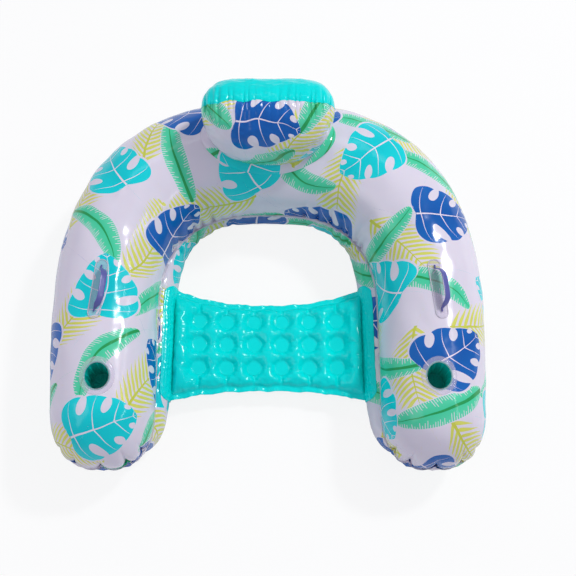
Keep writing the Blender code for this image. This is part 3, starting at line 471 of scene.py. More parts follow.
def tip_fan(section):
    """Rays round an arm's tip, from its outer side to its inner side."""
    mid, out, half, inner_bulge = section
    angle = np.linspace(0, pi, TIP_RAYS + 1)[1:-1]
    side = np.sign(np.cos(angle)) * np.abs(np.cos(angle)) ** (2 / TIP_EXPONENT)
    front = np.sin(angle) ** (2 / TIP_EXPONENT)
    reach = out * (half * side)[:, None] + FORWARD * (TIP_LENGTH * front)[:, None]
    length = np.linalg.norm(reach, axis=1)
    side_bulge = np.where(side > 0, LOWER_OUTER_BULGE, inner_bulge)
    bulge = side_bulge + (LOWER_TIP_BULGE - side_bulge) * np.sin(angle) ** LOWER_TIP_EASE
    return np.tile(mid, (len(angle), 1)), reach / length[:, None], length, bulge, angle / pi


steps = np.arange(ARM_RAYS) / ARM_RAYS
arm_y = TIP_Y + (ARCH_CENTRE_Y - TIP_Y) * steps
round_back = arch_sections(np.linspace(pi, 0, ARCH_RAYS + 1))
parts = [arm_sections(-1, arm_y), round_back, arm_sections(1, arm_y[::-1])]
mids, outs, halves, inner_bulges = [np.concatenate(kind) for kind in zip(*parts)]
right_fan = tip_fan((mids[-1], outs[-1], halves[-1], inner_bulges[-1]))
left_fan = tip_fan((mids[0], outs[0], halves[0], inner_bulges[0]))
left_fan = [values[::-1] for values in left_fan]
count = len(mids)
right_fan_first, left_fan_first = count, 2 * count + TIP_RAYS - 1
outer_side = (mids, outs, halves, np.full(count, LOWER_OUTER_BULGE))
inner_side = (mids[::-1], -outs[::-1], halves[::-1], inner_bulges[::-1])
loop = zip(outer_side, right_fan, inner_side, left_fan)
ray_mid, ray_way, ray_half, ray_bulge = [np.concatenate(kind) for kind in loop]
seam = ray_mid + ray_way * ray_half[:, None]
steps = np.linalg.norm(np.diff(seam, axis=0, append=seam[:1]), axis=1)
ray_place = np.concatenate([[0], np.cumsum(steps)[:-1]])
SEAM_LENGTH = steps.sum()
print("rays:", len(ray_place), "seam length %.2f m" % SEAM_LENGTH)

# %% [markdown]
# A flat sheet that is blown up into a round tube has too much edge, so it gathers. Where the
# seam turns a tight corner the gathers are deep pleats, as round the arm tips, and elsewhere
# they are small puckers. Each one is a narrow valley that starts at the seam and fans out and
# fades up the skin. The table says how many lie where; their places come from a fixed seed.

# %% Gathers along the seams
NOTCH_SHARES = np.array([6, 10, 14, 18, 22]) / 28
NOTCH_DEPTHS = (0.019, 0.0235, 0.0235, 0.0235, 0.019)
NOTCH_WIDTH, NOTCH_LENGTH, NOTCH_LONGER = 0.0115, 0.082, 0.018


def wave(x, y, seed, count, shortest, longest):
    """A smooth random field, about -1 to 1, from a few sines over x and y in metres."""
    dice = np.random.default_rng(seed)
    total = np.zeros(np.broadcast(x, y).shape)
    for _ in range(count):
        way = dice.uniform(0, 2 * pi)
        length = dice.uniform(shortest, longest)
        phase = (x * cos(way) + y * sin(way)) * 2 * pi / length
        total += np.sin(phase + dice.uniform(0, 2 * pi))
    return total / count**0.5


def gathers(seed, tables):
    """Rows of place, depth, width and length; tables hold start, end, spacing and the three."""
    dice = np.random.default_rng(seed)
    rows = []
    for start, end, spacing, depth, width, length in tables:
        number = max(1, round((end - start) / spacing))
        for index in range(number):
            place = start + (index + 0.5 + dice.uniform(-0.3, 0.3)) * (end - start) / number
            deep, wide, long = [dice.uniform(least, 1.3) for least in (0.55, 0.8, 0.6)]
            rows.append((place, depth * deep, width * wide, length * long))
    return np.array(rows)


def gathered(place, from_seam, rows, start=0.5, growth=1.3, lobe=0.0, edge=1.5):
    """How far each skin point is drawn in; both arguments are arrays of metres.

    A valley is start times its width at the seam and changes by growth up its length; lobe is
    how far the film swells on both sides of it, as a share of its depth. With edge near 1 the
    valley is a sharp crease between round scallops.
    """
    total = np.zeros(np.broadcast(place, from_seam).shape)
    for centre, depth, width, length in rows:
        gap = (place - centre + SEAM_LENGTH / 2) % SEAM_LENGTH - SEAM_LENGTH / 2
        fade = np.clip(1 - from_seam / length, 0, 1) ** (1.6 if lobe == 0 else 1.1)
        spread = width * (start + growth * np.clip(from_seam / length, 0, 1))
        across = np.exp(-np.abs(gap / spread) ** edge) - lobe * np.exp(-((gap / width / 2.4) ** 2))
        total += depth * fade * across
    return total


outer_end = ray_place[right_fan_first - 1]
right_tip_end = ray_place[right_fan_first + TIP_RAYS - 1]
inner_end = ray_place[left_fan_first - 1]
tip_rows = []
for first, fan in ((right_fan_first, right_fan), (left_fan_first, left_fan)):
    order = np.argsort(fan[4])
    places = ray_place[first : first + TIP_RAYS - 1][order]
    for number, (share, depth) in enumerate(zip(NOTCH_SHARES, NOTCH_DEPTHS)):
        place = np.interp(share, fan[4][order], places)
        tip_rows.append((place, depth, NOTCH_WIDTH, NOTCH_LENGTH + NOTCH_LONGER * (number % 2)))
arc = inner_end - right_tip_end
corner_tables = [
    # start, end, spacing, depth, width, length
    (right_tip_end + arc * 0.30, right_tip_end + arc * 0.44, 0.024, 0.0084, 0.0082, 0.160),
    (right_tip_end + arc * 0.56, right_tip_end + arc * 0.70, 0.024, 0.0084, 0.0082, 0.160),
    (right_tip_end + arc * 0.44, right_tip_end + arc * 0.56, 0.034, 0.0026, 0.0070, 0.060),
    (right_tip_end, right_tip_end + arc * 0.30, 0.036, 0.0022, 0.0065, 0.040),
    (right_tip_end + arc * 0.70, inner_end, 0.036, 0.0022, 0.0065, 0.040),
    (0, outer_end, 0.030, 0.0020, 0.0060, 0.034),
    (outer_end, right_tip_end, 0.017, 0.0030, 0.0036, 0.026),
    (inner_end, SEAM_LENGTH, 0.017, 0.0030, 0.0036, 0.026),
]
upper_rows, lower_rows = gathers(7, corner_tables), gathers(19, corner_tables)
TIP_PLEAT = {"start": 1.0, "growth": -0.72, "lobe": 0.2, "edge": 1.0}
print("gathers:", len(upper_rows), "on the upper chamber,", len(lower_rows), "on the lower")

# %% [markdown]
# Each chamber's skin is one closed surface over the rays. The profile down each ray is an arc,
# because air pressure makes round sections. The film's own coordinates are kept as a UV map in
# metres, measured over the skin, so the leaves lie on it as they lay on the flat film.

# %% Build the two chambers
UPPER_ROWS, SHELF_ROWS, WALL_ROWS = 46, 16, 30
FILM_DRAW = 0.86
CUP_Y, CUP_X = -0.28296, 0.377813
HANDLE_X, HANDLE_Y, HANDLE_TOE = 0.386134, -0.07996, radians(6)
CUP_QUIET, HANDLE_QUIET, HANDLE_STEP = 0.055, 0.035, 0.05
VALVE_QUIET, VALVE_FADE, VALVE_DIP = 0.014, 0.02, 0.0009
RIPPLE, FINE_RIPPLE, RIPPLE_START = 0.0009, 0.00025, 0.05
SHARP_EDGE = radians(50)
flat_spots = [(side * CUP_X, CUP_Y, CUP_QUIET) for side in (-1, 1)]
flat_spots += [
    (side * HANDLE_X, HANDLE_Y + step * HANDLE_STEP, HANDLE_QUIET)
    for side in (-1, 1) for step in (-1, 0, 1)
]
VALVES = ("upper", "lower", "headrest", "seat")
joint_axes = {joint["name"]: joint["axis"] for joint in frame["joints"]}
valve_middle, valve_out = {}, {}
for valve in VALVES:
    low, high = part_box(valve + "_valve_flange")
    valve_middle[valve] = np.array((low + high) / 2)
    valve_out[valve] = np.array(joint_axes[valve + "_valve_push"])


def mesh_piece(name, points, faces, material, uvs=None):
    """A smooth mesh from arrays of points and faces, with an optional UV for each point."""
    mesh = bpy.data.meshes.new(name)
    mesh.from_pydata([tuple(point) for point in points], [], [tuple(face) for face in faces])
    if uvs is not None:
        layer = mesh.uv_layers.new(name="film")
        corners = np.empty(len(mesh.loops), np.int32)
        mesh.loops.foreach_get("vertex_index", corners)
        layer.data.foreach_set("uv", np.asarray(uvs, np.float32)[corners].ravel())
    item = put(name, mesh)
    mesh.materials.append(material)
    edit = bmesh.new()
    edit.from_mesh(mesh)
    bmesh.ops.remove_doubles(edit, verts=edit.verts, dist=0.000002)
    bmesh.ops.recalc_face_normals(edit, faces=edit.faces)
    edit.to_mesh(mesh)
    edit.free()
    mesh.shade_smooth()
    return item


def grid_faces(rows, columns, loop=True):
    """Quads of a grid whose points are numbered row by row; loop joins the last row to the first."""
    last = rows if loop else rows - 1
    faces = []
    for row in range(last):
        after = (row + 1) % rows
        for column in range(columns - 1):
            first, second = row * columns + column, after * columns + column
            faces.append((first, first + 1, second + 1, second))
    return faces


def slab(name, top, bottom, material, film=None, loop=False, edges=(0, -1)):
    """A closed piece between two grids of points; a loop has its edges at the named columns."""
    rows, columns = top.shape[:2]
    numbers = np.arange(rows * columns).reshape(rows, columns)
    if loop:
        borders = [numbers[:, column].tolist() for column in edges]
    else:
        around = [numbers[0], numbers[1:, -1], numbers[-1, -2::-1], numbers[-2:0:-1, 0]]
        borders = [np.concatenate(around).tolist()]
    sheet = grid_faces(rows, columns, loop)
    size = rows * columns
    faces = sheet + [tuple(index + size for index in face[::-1]) for face in sheet]
    for border in borders:
        pairs = zip(border, border[1:] + border[:1])
        faces += [(first, second, second + size, first + size) for first, second in pairs]
    points = np.concatenate([top.reshape(-1, 3), bottom.reshape(-1, 3)])
    uvs = None if film is None else np.concatenate([film.reshape(-1, 2)] * 2)
    return mesh_piece(name, points, faces, material, uvs)


def patch(name, x, y, low, high, material, **settings):
    """A ring-shaped slab between two heights over the same places in plan."""
    top, bottom = np.stack([x, y, high], 2), np.stack([x, y, low], 2)
    return slab(name, top, bottom, material, loop=True, **settings)


def settle(item):
    """Runs an object's modifiers and keeps the result as its own smooth mesh."""
    graph = bpy.context.evaluated_depsgraph_get()
    mesh = bpy.data.meshes.new_from_object(item.evaluated_get(graph))
    item.modifiers.clear()
    item.data = mesh
    mesh.shade_smooth()


def bore(item, middle, way, half_x, half_y, low, high, sides=64):
    """Cuts a round or oval hole along a direction, from low to high measured from its middle."""
    edit = bmesh.new()
    bmesh.ops.create_cone(edit, cap_ends=True, segments=sides, radius1=1, radius2=1, depth=high - low)
    turn = Vector(way).to_track_quat("Z", "Y").to_matrix().to_4x4()
    shift = Matrix.Translation(Vector(middle) + Vector(way) * (high + low) / 2)
    edit.transform(shift @ turn @ Matrix.Diagonal((half_x, half_y, 1, 1)))
    mesh = bpy.data.meshes.new("cutter")
    edit.to_mesh(mesh)
    edit.free()
    cutter = put("cutter", mesh)
    bite = item.modifiers.new("bite", "BOOLEAN")
    bite.operation, bite.solver, bite.object = "DIFFERENCE", "EXACT", cutter
    settle(item)
    item.data.set_sharp_from_angle(angle=SHARP_EDGE)
    bpy.data.objects.remove(cutter)


def off_spots(plan, spots):
    """0 on the spots, out to 0.7 of a radius, and 1 beyond 1.3: patches lie on calm film."""
    share = np.ones(plan.shape[:-1])
    for x, y, radius in spots:
        gap = np.hypot(plan[..., 0] - x, plan[..., 1] - y)
        share *= np.clip((gap / radius - 0.7) / 0.6, 0, 1)
    return share


def chamber(name, distance, height, rows, seed, replaced, film_shift):
    """Turns profile distances and heights, one row for each ray, into the finished skin."""
    run = np.hypot(np.diff(distance, axis=1), np.diff(height, axis=1))
    walked = np.concatenate([np.zeros((len(run), 1)), np.cumsum(run, axis=1)], 1)
    at_seam = np.abs(distance - ray_half[:, None]) + np.abs(height - height_of_seam[name])
    seam_column = at_seam.argmin(axis=1)
    from_seam = np.abs(walked - walked[np.arange(len(walked)), seam_column][:, None])
    slope_d, slope_h = np.gradient(distance, axis=1), np.gradient(height, axis=1)
    size = np.hypot(slope_d, slope_h) + 1e-9
    normal_d, normal_h = -slope_h / size, slope_d / size
    if name == "upper_skin":
        normal_d[:, 0], normal_h[:, 0] = 0, 1
    plan = ray_mid[:, None] + ray_way[:, None] * distance[..., None]
    shell = np.concatenate([plan, height[..., None]], 2)
    quiet = np.ones(distance.shape)
    for valve in VALVES:
        gap = np.linalg.norm(shell - valve_middle[valve], axis=2)
        quiet *= np.clip((gap - VALVE_QUIET) / VALVE_FADE, 0, 1)
    quiet *= off_spots(plan, flat_spots) if name == "upper_skin" else 1
    drawn = gathered(ray_place[:, None], from_seam, rows)
    drawn += gathered(ray_place[:, None], from_seam, tip_rows, **TIP_PLEAT)
    drawn -= drawn.mean() * 0.5
    ripple = wave(plan[..., 0], plan[..., 1] + height, seed, 9, 0.07, 0.16)
    fine = wave(plan[..., 0] - height, plan[..., 1], seed + 1, 9, 0.02, 0.05)
    ripples = (RIPPLE * ripple + FINE_RIPPLE * fine) * np.clip(from_seam / RIPPLE_START, 0, 1)
    push = (-drawn + ripples) * quiet
    push -= VALVE_DIP * (1 - quiet) * (1 if name == "lower_skin" else 0)
    push[inner_columns[name]] = 0
    distance = distance + push * normal_d
    height = np.maximum(height + push * normal_h, 0)
    plan = ray_mid[:, None] + ray_way[:, None] * distance[..., None]
    points = np.concatenate([plan, height[..., None]], 2).reshape(-1, 3)
    film = ray_mid[:, None] + ray_way[:, None] * (walked * FILM_DRAW)[..., None] + film_shift
    item = mesh_piece(name, points, grid_faces(*distance.shape), printed_film, film.reshape(-1, 2))
    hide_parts(replaced)
    return item


half = ray_half[:, None]
radius = (UPPER_HEIGHT**2 + half**2) / (2 * UPPER_HEIGHT)
centre = UPPER_HEIGHT - radius
start = -np.arcsin(centre / radius)
angle = pi / 2 + (start - pi / 2) * np.linspace(0, 1, UPPER_ROWS)[None]
inward = half * np.linspace(1, 0, 5)[None, 1:]
upper_distance = np.concatenate([radius * np.cos(angle), inward], 1)
upper_distance[:, 0] = 0
dome = UPPER_BASE_Z + centre + radius * np.sin(angle)
upper_height = np.concatenate([dome, np.full(inward.shape, UPPER_BASE_Z)], 1)

middle = LOWER_HEIGHT / 2
bulge = ray_bulge[:, None]
shelf = pi / 2 * np.linspace(1, 0, SHELF_ROWS)[None]
wall = np.arcsin(middle / (middle + REST_CUT)) * np.linspace(0, 1, WALL_ROWS)[None, 1:]
foot = (half + bulge) * np.cos(wall[:, -1:])
ledge_out, wall_out = half + bulge * np.cos(shelf), (half + bulge) * np.cos(wall)
sole_out = foot * np.linspace(0.6, 0, 3)[None]
lower_distance = np.concatenate([inward[:, ::-1], ledge_out, wall_out, sole_out], 1)
ledge_z = middle + middle * np.sin(shelf) + 0 * half
wall_z = middle - (middle + REST_CUT) * np.sin(wall) + 0 * half
top_z = np.full(inward.shape, LOWER_HEIGHT)
lower_height = np.concatenate([top_z, ledge_z, wall_z, 0 * sole_out], 1)
height_of_seam = {"upper_skin": UPPER_BASE_Z, "lower_skin": LOWER_HEIGHT}
inner_columns = {
    "upper_skin": (slice(None), slice(UPPER_ROWS, None)),
    "lower_skin": (slice(None), list(range(4)) + [-1, -2, -3]),
}
upper = chamber("upper_skin", upper_distance, upper_height, upper_rows, 3, "upper_chamber", (0, 0))
lower = chamber("lower_skin", lower_distance, lower_height, lower_rows, 5, "lower_chamber", (0.13, 0.21))
print("chambers:", len(upper.data.polygons), "and", len(lower.data.polygons), "faces")

# %% [markdown]
# Air does the rest of the seat's shaping. Its film is held at the welds, given a few per cent
# to spare and blown up with Blender's Cloth, so that it swells and buckles as film does. How
# far a point may move is capped, and the result is kept as a plain mesh, subdivided once.

# %% Blow the seat up
AIR_FRAMES = 16
CLOTH_QUALITY, FILM_MASS, FILM_BENDING = 5, 0.12, 0.02


def positions(mesh):
    """The mesh's points as an array."""
    flat = np.empty(len(mesh.vertices) * 3, np.float32)
    mesh.vertices.foreach_get("co", flat)
    return flat.reshape(-1, 3).astype(float)


def inflate(item, weld_weight, pressure, spare, cap, stiffness):
    """Blows a closed skin up; weld_weight gives 1 where a point is held, from its place."""
    before = positions(item.data)
    weights = np.round(weld_weight(before), 1)
    group = item.vertex_groups.new(name="welds")
    for level in np.unique(weights[weights > 0]):
        group.add(np.flatnonzero(weights == level).tolist(), float(level), "REPLACE")
    air = item.modifiers.new("air", "CLOTH")
    settings = {
        "quality": CLOTH_QUALITY, "mass": FILM_MASS, "tension_stiffness": stiffness,
        "compression_stiffness": stiffness, "shear_stiffness": stiffness / 2,
        "bending_stiffness": FILM_BENDING, "use_pressure": True, "shrink_min": -spare,
        "uniform_pressure_force": pressure, "vertex_group_mass": "welds",
    }
    for name, value in settings.items():
        setattr(air.settings, name, value)
    air.settings.effector_weights.gravity = 0
    air.point_cache.frame_end = AIR_FRAMES
    for frame_number in range(1, AIR_FRAMES + 1):
        bpy.context.scene.frame_set(frame_number)
    graph = bpy.context.evaluated_depsgraph_get()
    after = positions(item.evaluated_get(graph).to_mesh())
    item.modifiers.clear()
    bpy.context.scene.frame_set(1)
    move = after - before
    length = np.linalg.norm(move, axis=1, keepdims=True)
    before += move * np.minimum(1, cap / np.maximum(length, 1e-9))
    item.data.vertices.foreach_set("co", before.astype(np.float32).ravel())
    item.vertex_groups.clear()
    print(item.name, "blown up, moved %.1f mm at most" % (1000 * min(cap, length.max())))
    finer = item.modifiers.new("finer", "SUBSURF")
    finer.levels = finer.render_levels = 1
    settle(item)


# %% [markdown]
# The seat is two sheets of turquoise film, welded together along a flat rim and at three rows
# of six round dots. Between the welds the film balloons and puckers. It hangs between the
# lower chambers, widest at its ends, which stay plain bolsters.

# %% Seat
SEAT_Y, SEAT_END_Z, SEAT_SAG = -0.15296, 0.068, 0.016
SEAT_HALF_MIDDLE, SEAT_HALF_END, SEAT_FLARE = 0.106, 0.141, 2.4
SEAT_COLUMNS, SEAT_ROWS = 6, 3
COLUMN_PITCH, ROW_PITCH = 0.067048, 0.059
DOT_RADIUS, DOT_THICKNESS, SEAT_THICKNESS = 0.0185, 0.015, 0.048
RIM_WIDTH, END_RIM, RIM_THICKNESS = 0.014, 0.006, 0.0016
DOT_RISE, END_SWELL, FRONT_SLACK, COLUMN_PULL = 0.0085, 0.007, 0.009, 0.0012
DOT_PUCKER, DOT_PUCKER_LENGTH = 0.11, 0.008
EDGE_PUCKER, EDGE_PUCKER_WIDTH, EDGE_PUCKER_RISE = 0.8, 0.0034, 0.008
RIM_WAVE, END_WAVE = 0.0026, 0.0012
WELD_REACH, WELD_FADE, WELD_MARGIN = 0.0035, 0.004, 0.0005
SEAT_GRID = (124, 64)


def nearest(value, pitch, number):
    """The nearest place in a centred row of equally spaced ones."""
    middle = (number - 1) / 2
    return (np.clip(np.round(value / pitch + middle), 0, number - 1) - middle) * pitch


def dot_gap(x, y):
    """Distance to the nearest weld dot's centre."""
    across = x - nearest(x, COLUMN_PITCH, SEAT_COLUMNS)
    return np.hypot(across, y - SEAT_Y - nearest(y - SEAT_Y, ROW_PITCH, SEAT_ROWS))


def seat_half(x, in_front):
    """Half of the seat's length, drawn in a little at each column of dots, slacker in front."""
    flare = np.minimum(np.abs(x) / WALL_HALF_WIDTH, 1) ** SEAT_FLARE
    pull = np.cos(2 * pi * (x / COLUMN_PITCH - 0.5)) * (np.abs(x) < 3 * COLUMN_PITCH)
    slack = FRONT_SLACK * in_front * (1 - flare)
    half = SEAT_HALF_MIDDLE + (SEAT_HALF_END - SEAT_HALF_MIDDLE) * flare
    return half - COLUMN_PULL - COLUMN_PULL * pull + slack


def graded(half, rim, count):
    """Places from -1 to 1 with rows at the rim's inner edge; half and rim are lengths."""
    inside = (half - rim) / half
    edge = np.linspace(inside, 1, 4)[1:]
    return np.concatenate([-edge[::-1], np.linspace(-inside, inside, count), edge])


seat_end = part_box("seat_mattress")[1].x
x = graded(seat_end, END_RIM, SEAT_GRID[0])[:, None] * seat_end
flat_rows = graded(SEAT_HALF_MIDDLE, RIM_WIDTH, SEAT_GRID[1])[None, :]
half = seat_half(x, flat_rows < 0)
inner = half - RIM_WIDTH
inside = 1 - RIM_WIDTH / SEAT_HALF_MIDDLE
along = np.where(
    np.abs(flat_rows) <= inside, flat_rows / inside * inner,
    np.sign(flat_rows) * (inner + (np.abs(flat_rows) - inside) / (1 - inside) * RIM_WIDTH),
)
y = SEAT_Y + along
x = x + 0 * y
across_share = np.abs(x) / (seat_end - END_RIM)
along_share = np.abs(along) / inner
edge = np.sqrt(np.clip(1 - across_share**44, 0, 1) * np.clip(1 - along_share**5, 0, 1))
dot_places = [
    ((column - (SEAT_COLUMNS - 1) / 2) * COLUMN_PITCH, SEAT_Y + (row - (SEAT_ROWS - 1) / 2) * ROW_PITCH)
    for column in range(SEAT_COLUMNS) for row in range(SEAT_ROWS)
]
drawn_in = np.zeros(x.shape)
dice = np.random.default_rng(12)
for dot_x, dot_y in dot_places:
    gap = np.maximum(np.hypot(x - dot_x, y - dot_y) - DOT_RADIUS, 0)
    turn = np.arctan2(y - dot_y, x - dot_x)
    puckers = np.cos(turn * 9 + dice.uniform(0, 6)) * np.cos(turn * 4 + dice.uniform(0, 6))
    puckers = DOT_PUCKER * puckers * np.exp(-gap / DOT_PUCKER_LENGTH)
    drawn_in += np.exp(-((gap / DOT_RISE) ** 1.1)) + puckers * (gap > 0)
column_gap = x - nearest(x, COLUMN_PITCH, SEAT_COLUMNS)
outside_dots = (np.abs(along) - ROW_PITCH - DOT_RADIUS * 0.7) / EDGE_PUCKER_RISE
outside_dots = np.clip(outside_dots, 0, 1)
drawn_in += EDGE_PUCKER * np.exp(-((column_gap / EDGE_PUCKER_WIDTH) ** 2)) * outside_dots
low = DOT_THICKNESS / 2
full = low + (SEAT_THICKNESS / 2 - low) * np.clip(1 - drawn_in, 0, 1)
end_columns = (SEAT_COLUMNS - 1) / 2 * COLUMN_PITCH + DOT_RADIUS
in_bolster = np.clip((np.abs(x) - end_columns) / (seat_end - end_columns - END_RIM), 0, 1)
full = full + END_SWELL * np.sin(pi * (0.12 + 0.5 * in_bolster)) * np.clip(in_bolster * 3, 0, 1)
thick = np.maximum(full * edge, RIM_THICKNESS / 2)
level = SEAT_END_Z - SEAT_SAG * (1 - (x / WALL_HALF_WIDTH) ** 2)
in_rim = np.clip((np.abs(along) - inner) / RIM_WIDTH, 0, 1)
level = level + in_rim * RIM_WAVE * wave(x, y * 0.2, 31, 8, 0.014, 0.045)
in_end = np.clip((np.abs(x) - seat_end + END_RIM) / END_RIM, 0, 1)
level = level + in_end * END_WAVE * wave(y * 0.3, x, 33, 8, 0.006, 0.02)
top = np.stack([x, y, level + thick], 2)
bottom = np.stack([x, y, level - thick], 2)
seat = slab("seat_cushion", top, bottom, turquoise_film)


def seat_welds(places):
    """Held at the dots, the rim and the ends."""
    x, y = places[:, 0], places[:, 1]
    held = np.clip((DOT_RADIUS + WELD_REACH - dot_gap(x, y)) / WELD_FADE, 0, 1)
    rim_start = seat_half(x, y < SEAT_Y) - RIM_WIDTH - WELD_MARGIN
    held = np.maximum(held, np.abs(y - SEAT_Y) > rim_start)
    return np.maximum(held, np.abs(x) > seat_end - END_RIM - WELD_MARGIN).astype(float)


inflate(seat, seat_welds, pressure=7, spare=0.025, cap=0.006, stiffness=25)
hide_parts("seat_mattress")
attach(seat, "chair")
print("seat:", len(seat.data.polygons), "faces")

# %% [markdown]
# Each end of the seat is welded to a band of the same film on the chamber's inner wall. The
# band takes up the pull, so long creases run down its length between small crinkles.

# %% Bands at the seat's ends
BAND_HALF, BAND_CORNER, BAND_THICKNESS = 0.143, 0.02, 0.0015
BAND_LOW, BAND_HIGH = 0.044, 0.1075
RIDGE_PITCH, RIDGE_RISE = 0.0056, 0.0016
BAND_CREASE, BAND_CRINKLE, BAND_SWELL, BAND_EDGE = 0.0005, 0.0007, 0.0008, 0.004
WELD_GAP = 0.0003
right_side = slice(ARM_RAYS + ARCH_RAYS // 2, None)


def wall_across(y, z):
    """How far the lower chamber's inner wall stands from the middle, at a place and height."""
    middle = LOWER_HEIGHT / 2
    mid, out = mids[right_side], outs[right_side]
    wide, swell = halves[right_side], inner_bulges[right_side]
    if z <= middle:
        reach = (wide + swell) * (1 - ((middle - z) / (middle + REST_CUT)) ** 2) ** 0.5
    else:
        reach = wide + swell * (1 - min(((z - middle) / middle) ** 2, 1)) ** 0.5
    line = mid - out * reach[:, None]
    return np.interp(y, line[::-1, 1], line[::-1, 0])


for side, name in ((-1, "left"), (1, "right")):
    round_wall = LOWER_HEIGHT / 2
    swing = np.arcsin(np.array([BAND_LOW, BAND_HIGH]) / round_wall - 1)
    high = round_wall * (1 + np.sin(np.linspace(swing[0], swing[1], 70)))
    middle_z, half_z = (BAND_LOW + BAND_HIGH) / 2, (BAND_HIGH - BAND_LOW) / 2
    near_edge = np.clip((np.abs(high - middle_z) - half_z + BAND_CORNER) / BAND_CORNER, 0, 1)
    reach = BAND_HALF - BAND_CORNER * (1 - np.sqrt(1 - near_edge**2))
    place = np.linspace(-1, 1, 120)
    y = SEAT_Y + place[None, :] * reach[:, None]
    z = np.repeat(high[:, None], len(place), 1)
    x = np.stack([wall_across(row, height) for row, height in zip(y, high)])
    crease = wave(z, y * 0.12, 41 + side, 7, 0.008, 0.02)
    crinkle = wave(z, y, 47 + side, 9, 0.006, 0.016)
    from_edge = np.clip((half_z - np.abs(high - middle_z)) / BAND_EDGE, 0, 1)[:, None]
    soft = np.clip((1 - np.abs(place)) * 12, 0, 1)[None] * from_edge
    ridge = np.abs(np.cos(pi * (x - x.min(axis=0)) / RIDGE_PITCH + 0.4 * crease))
    swell = RIDGE_RISE * (1 - ridge**3) + BAND_CREASE * crease + BAND_CRINKLE * crinkle + BAND_SWELL
    face = x - WELD_GAP - BAND_THICKNESS - np.maximum(swell, 0) * soft
    back = x - WELD_GAP
    front_layer = np.stack([side * face, y, z], 2)
    back_layer = np.stack([side * back, y, z], 2)
    band = slab("seat_band_" + name, front_layer, back_layer, turquoise_film)
    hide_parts("seat_end_panel_" + name)
    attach(band, "chair")

# %% [markdown]
# Patches that are welded on top of the horseshoe follow its crown, so one function gives the
# crown's height over any place in plan: the same arcs as the skin's, read from above.

# %% Height of the crown
def crown_height(x, y):
    """Height of the upper chamber's crown over places in plan."""
    in_arch = y > ARCH_CENTRE_Y
    angle = np.arctan2(np.maximum(y - ARCH_CENTRE_Y, 0), x)
    outer_arch = superellipse(angle, SEAM_OUTER_HALF_WIDTH, SEAM_OUTER_REACH, OUTER_EXPONENT)
    inner_arch = superellipse(angle, SEAM_INNER_HALF_WIDTH, SEAM_INNER_REACH, INNER_EXPONENT)
    share = (ARCH_CENTRE_Y - y) / (ARCH_CENTRE_Y - TIP_Y)
    outer = np.where(in_arch, outer_arch, SEAM_OUTER_HALF_WIDTH - ARM_TAPER * share**2)
    inner = np.where(in_arch, inner_arch, SEAM_INNER_HALF_WIDTH)
    reach = np.where(in_arch, np.hypot(x, y - ARCH_CENTRE_Y), np.abs(x))
    half = (outer - inner) / 2
    radius = (UPPER_HEIGHT**2 + half**2) / (2 * UPPER_HEIGHT)
    rise = np.sqrt(np.maximum(radius**2 - (reach - (inner + outer) / 2) ** 2, 0))
    return UPPER_BASE_Z + UPPER_HEIGHT - radius + rise


print("crown over a cup: %.4f m" % crown_height(CUP_X, CUP_Y))

# %% [markdown]
# Wherever two films are welded, the hot bar squeezes out a fine bead. It follows a path, so
# Geometry Nodes sweep it: the path is a row of edges, which becomes a curve, and a small circle
# is run along it. The same tree serves the pillow's seam and the outlines of the handle pads.

# %% The weld bead as a node tree
def socketed(tree, inputs):
    """Gives a tree its geometry sockets and named inputs; inputs maps a name to kind and value."""
    tree.interface.new_socket("Geometry", in_out="INPUT", socket_type="NodeSocketGeometry")
    for name, (kind, value) in inputs.items():
        socket = tree.interface.new_socket(name, in_out="INPUT", socket_type="NodeSocket" + kind)
        if value is not None:
            socket.default_value = value
    tree.interface.new_socket("Geometry", in_out="OUTPUT", socket_type="NodeSocketGeometry")
    return add(tree, "NodeGroupInput")


def grown(name, points, edges, tree, values):
    """Runs a tree on a bare set of points and edges, and keeps the result as a plain mesh."""
    mesh = bpy.data.meshes.new(name)
    mesh.from_pydata([tuple(point) for point in points], edges, [])
    item = put(name, mesh)
    maker = item.modifiers.new("maker", "NODES")
    maker.node_group = tree
    sockets = tree.interface.items_tree
    places = {entry.name: entry.identifier for entry in sockets if entry.in_out == "INPUT"}
    for socket, value in values.items():
        maker[places[socket]] = value
    settle(item)
    return item


def coat(tree, geometry, finish):
    """Ends a tree: its instances become real, take the material and go to the output."""
    real = add(tree, "GeometryNodeRealizeInstances", {"Geometry": geometry})
    coated = add(tree, "GeometryNodeSetMaterial", {"Geometry": real.outputs[0], "Material": finish})
    add(tree, "NodeGroupOutput", {0: coated.outputs[0]})


bead_tree = bpy.data.node_groups.new("weld_bead", "GeometryNodeTree")
given = socketed(bead_tree, {"Bead Radius": ("Float", 0.001), "Finish": ("Material", None)}).outputs
path = add(bead_tree, "GeometryNodeMeshToCurve", {"Mesh": given["Geometry"]})
round_bead = {"Resolution": 8, "Radius": given["Bead Radius"]}
section = add(bead_tree, "GeometryNodeCurvePrimitiveCircle", round_bead, mode="RADIUS")
swept = add(
    bead_tree, "GeometryNodeCurveToMesh",
    {"Curve": path.outputs[0], "Profile Curve": section.outputs[0], "Fill Caps": True},
)
coat(bead_tree, swept.outputs[0], given["Finish"])


def weld_bead(name, path, closed, radius, finish):
    """A bead along a path of points, riding on the chair."""
    edges = [(index, index + 1) for index in range(len(path) - 1)]
    if closed:
        edges.append((len(path) - 1, 0))
    bead = grown(name, path, edges, bead_tree, {"Bead Radius": radius, "Finish": finish})
    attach(bead, "chair")
    print(name + ":", len(bead.data.polygons), "faces")
    return bead


# %% [markdown]
# The welding bar also leaves a raised ring round each of the seat's eighteen dots. The tree
# makes the grid of dots, lets it sag as the seat does, and sets one ring on every point,
# leaning with the sag.

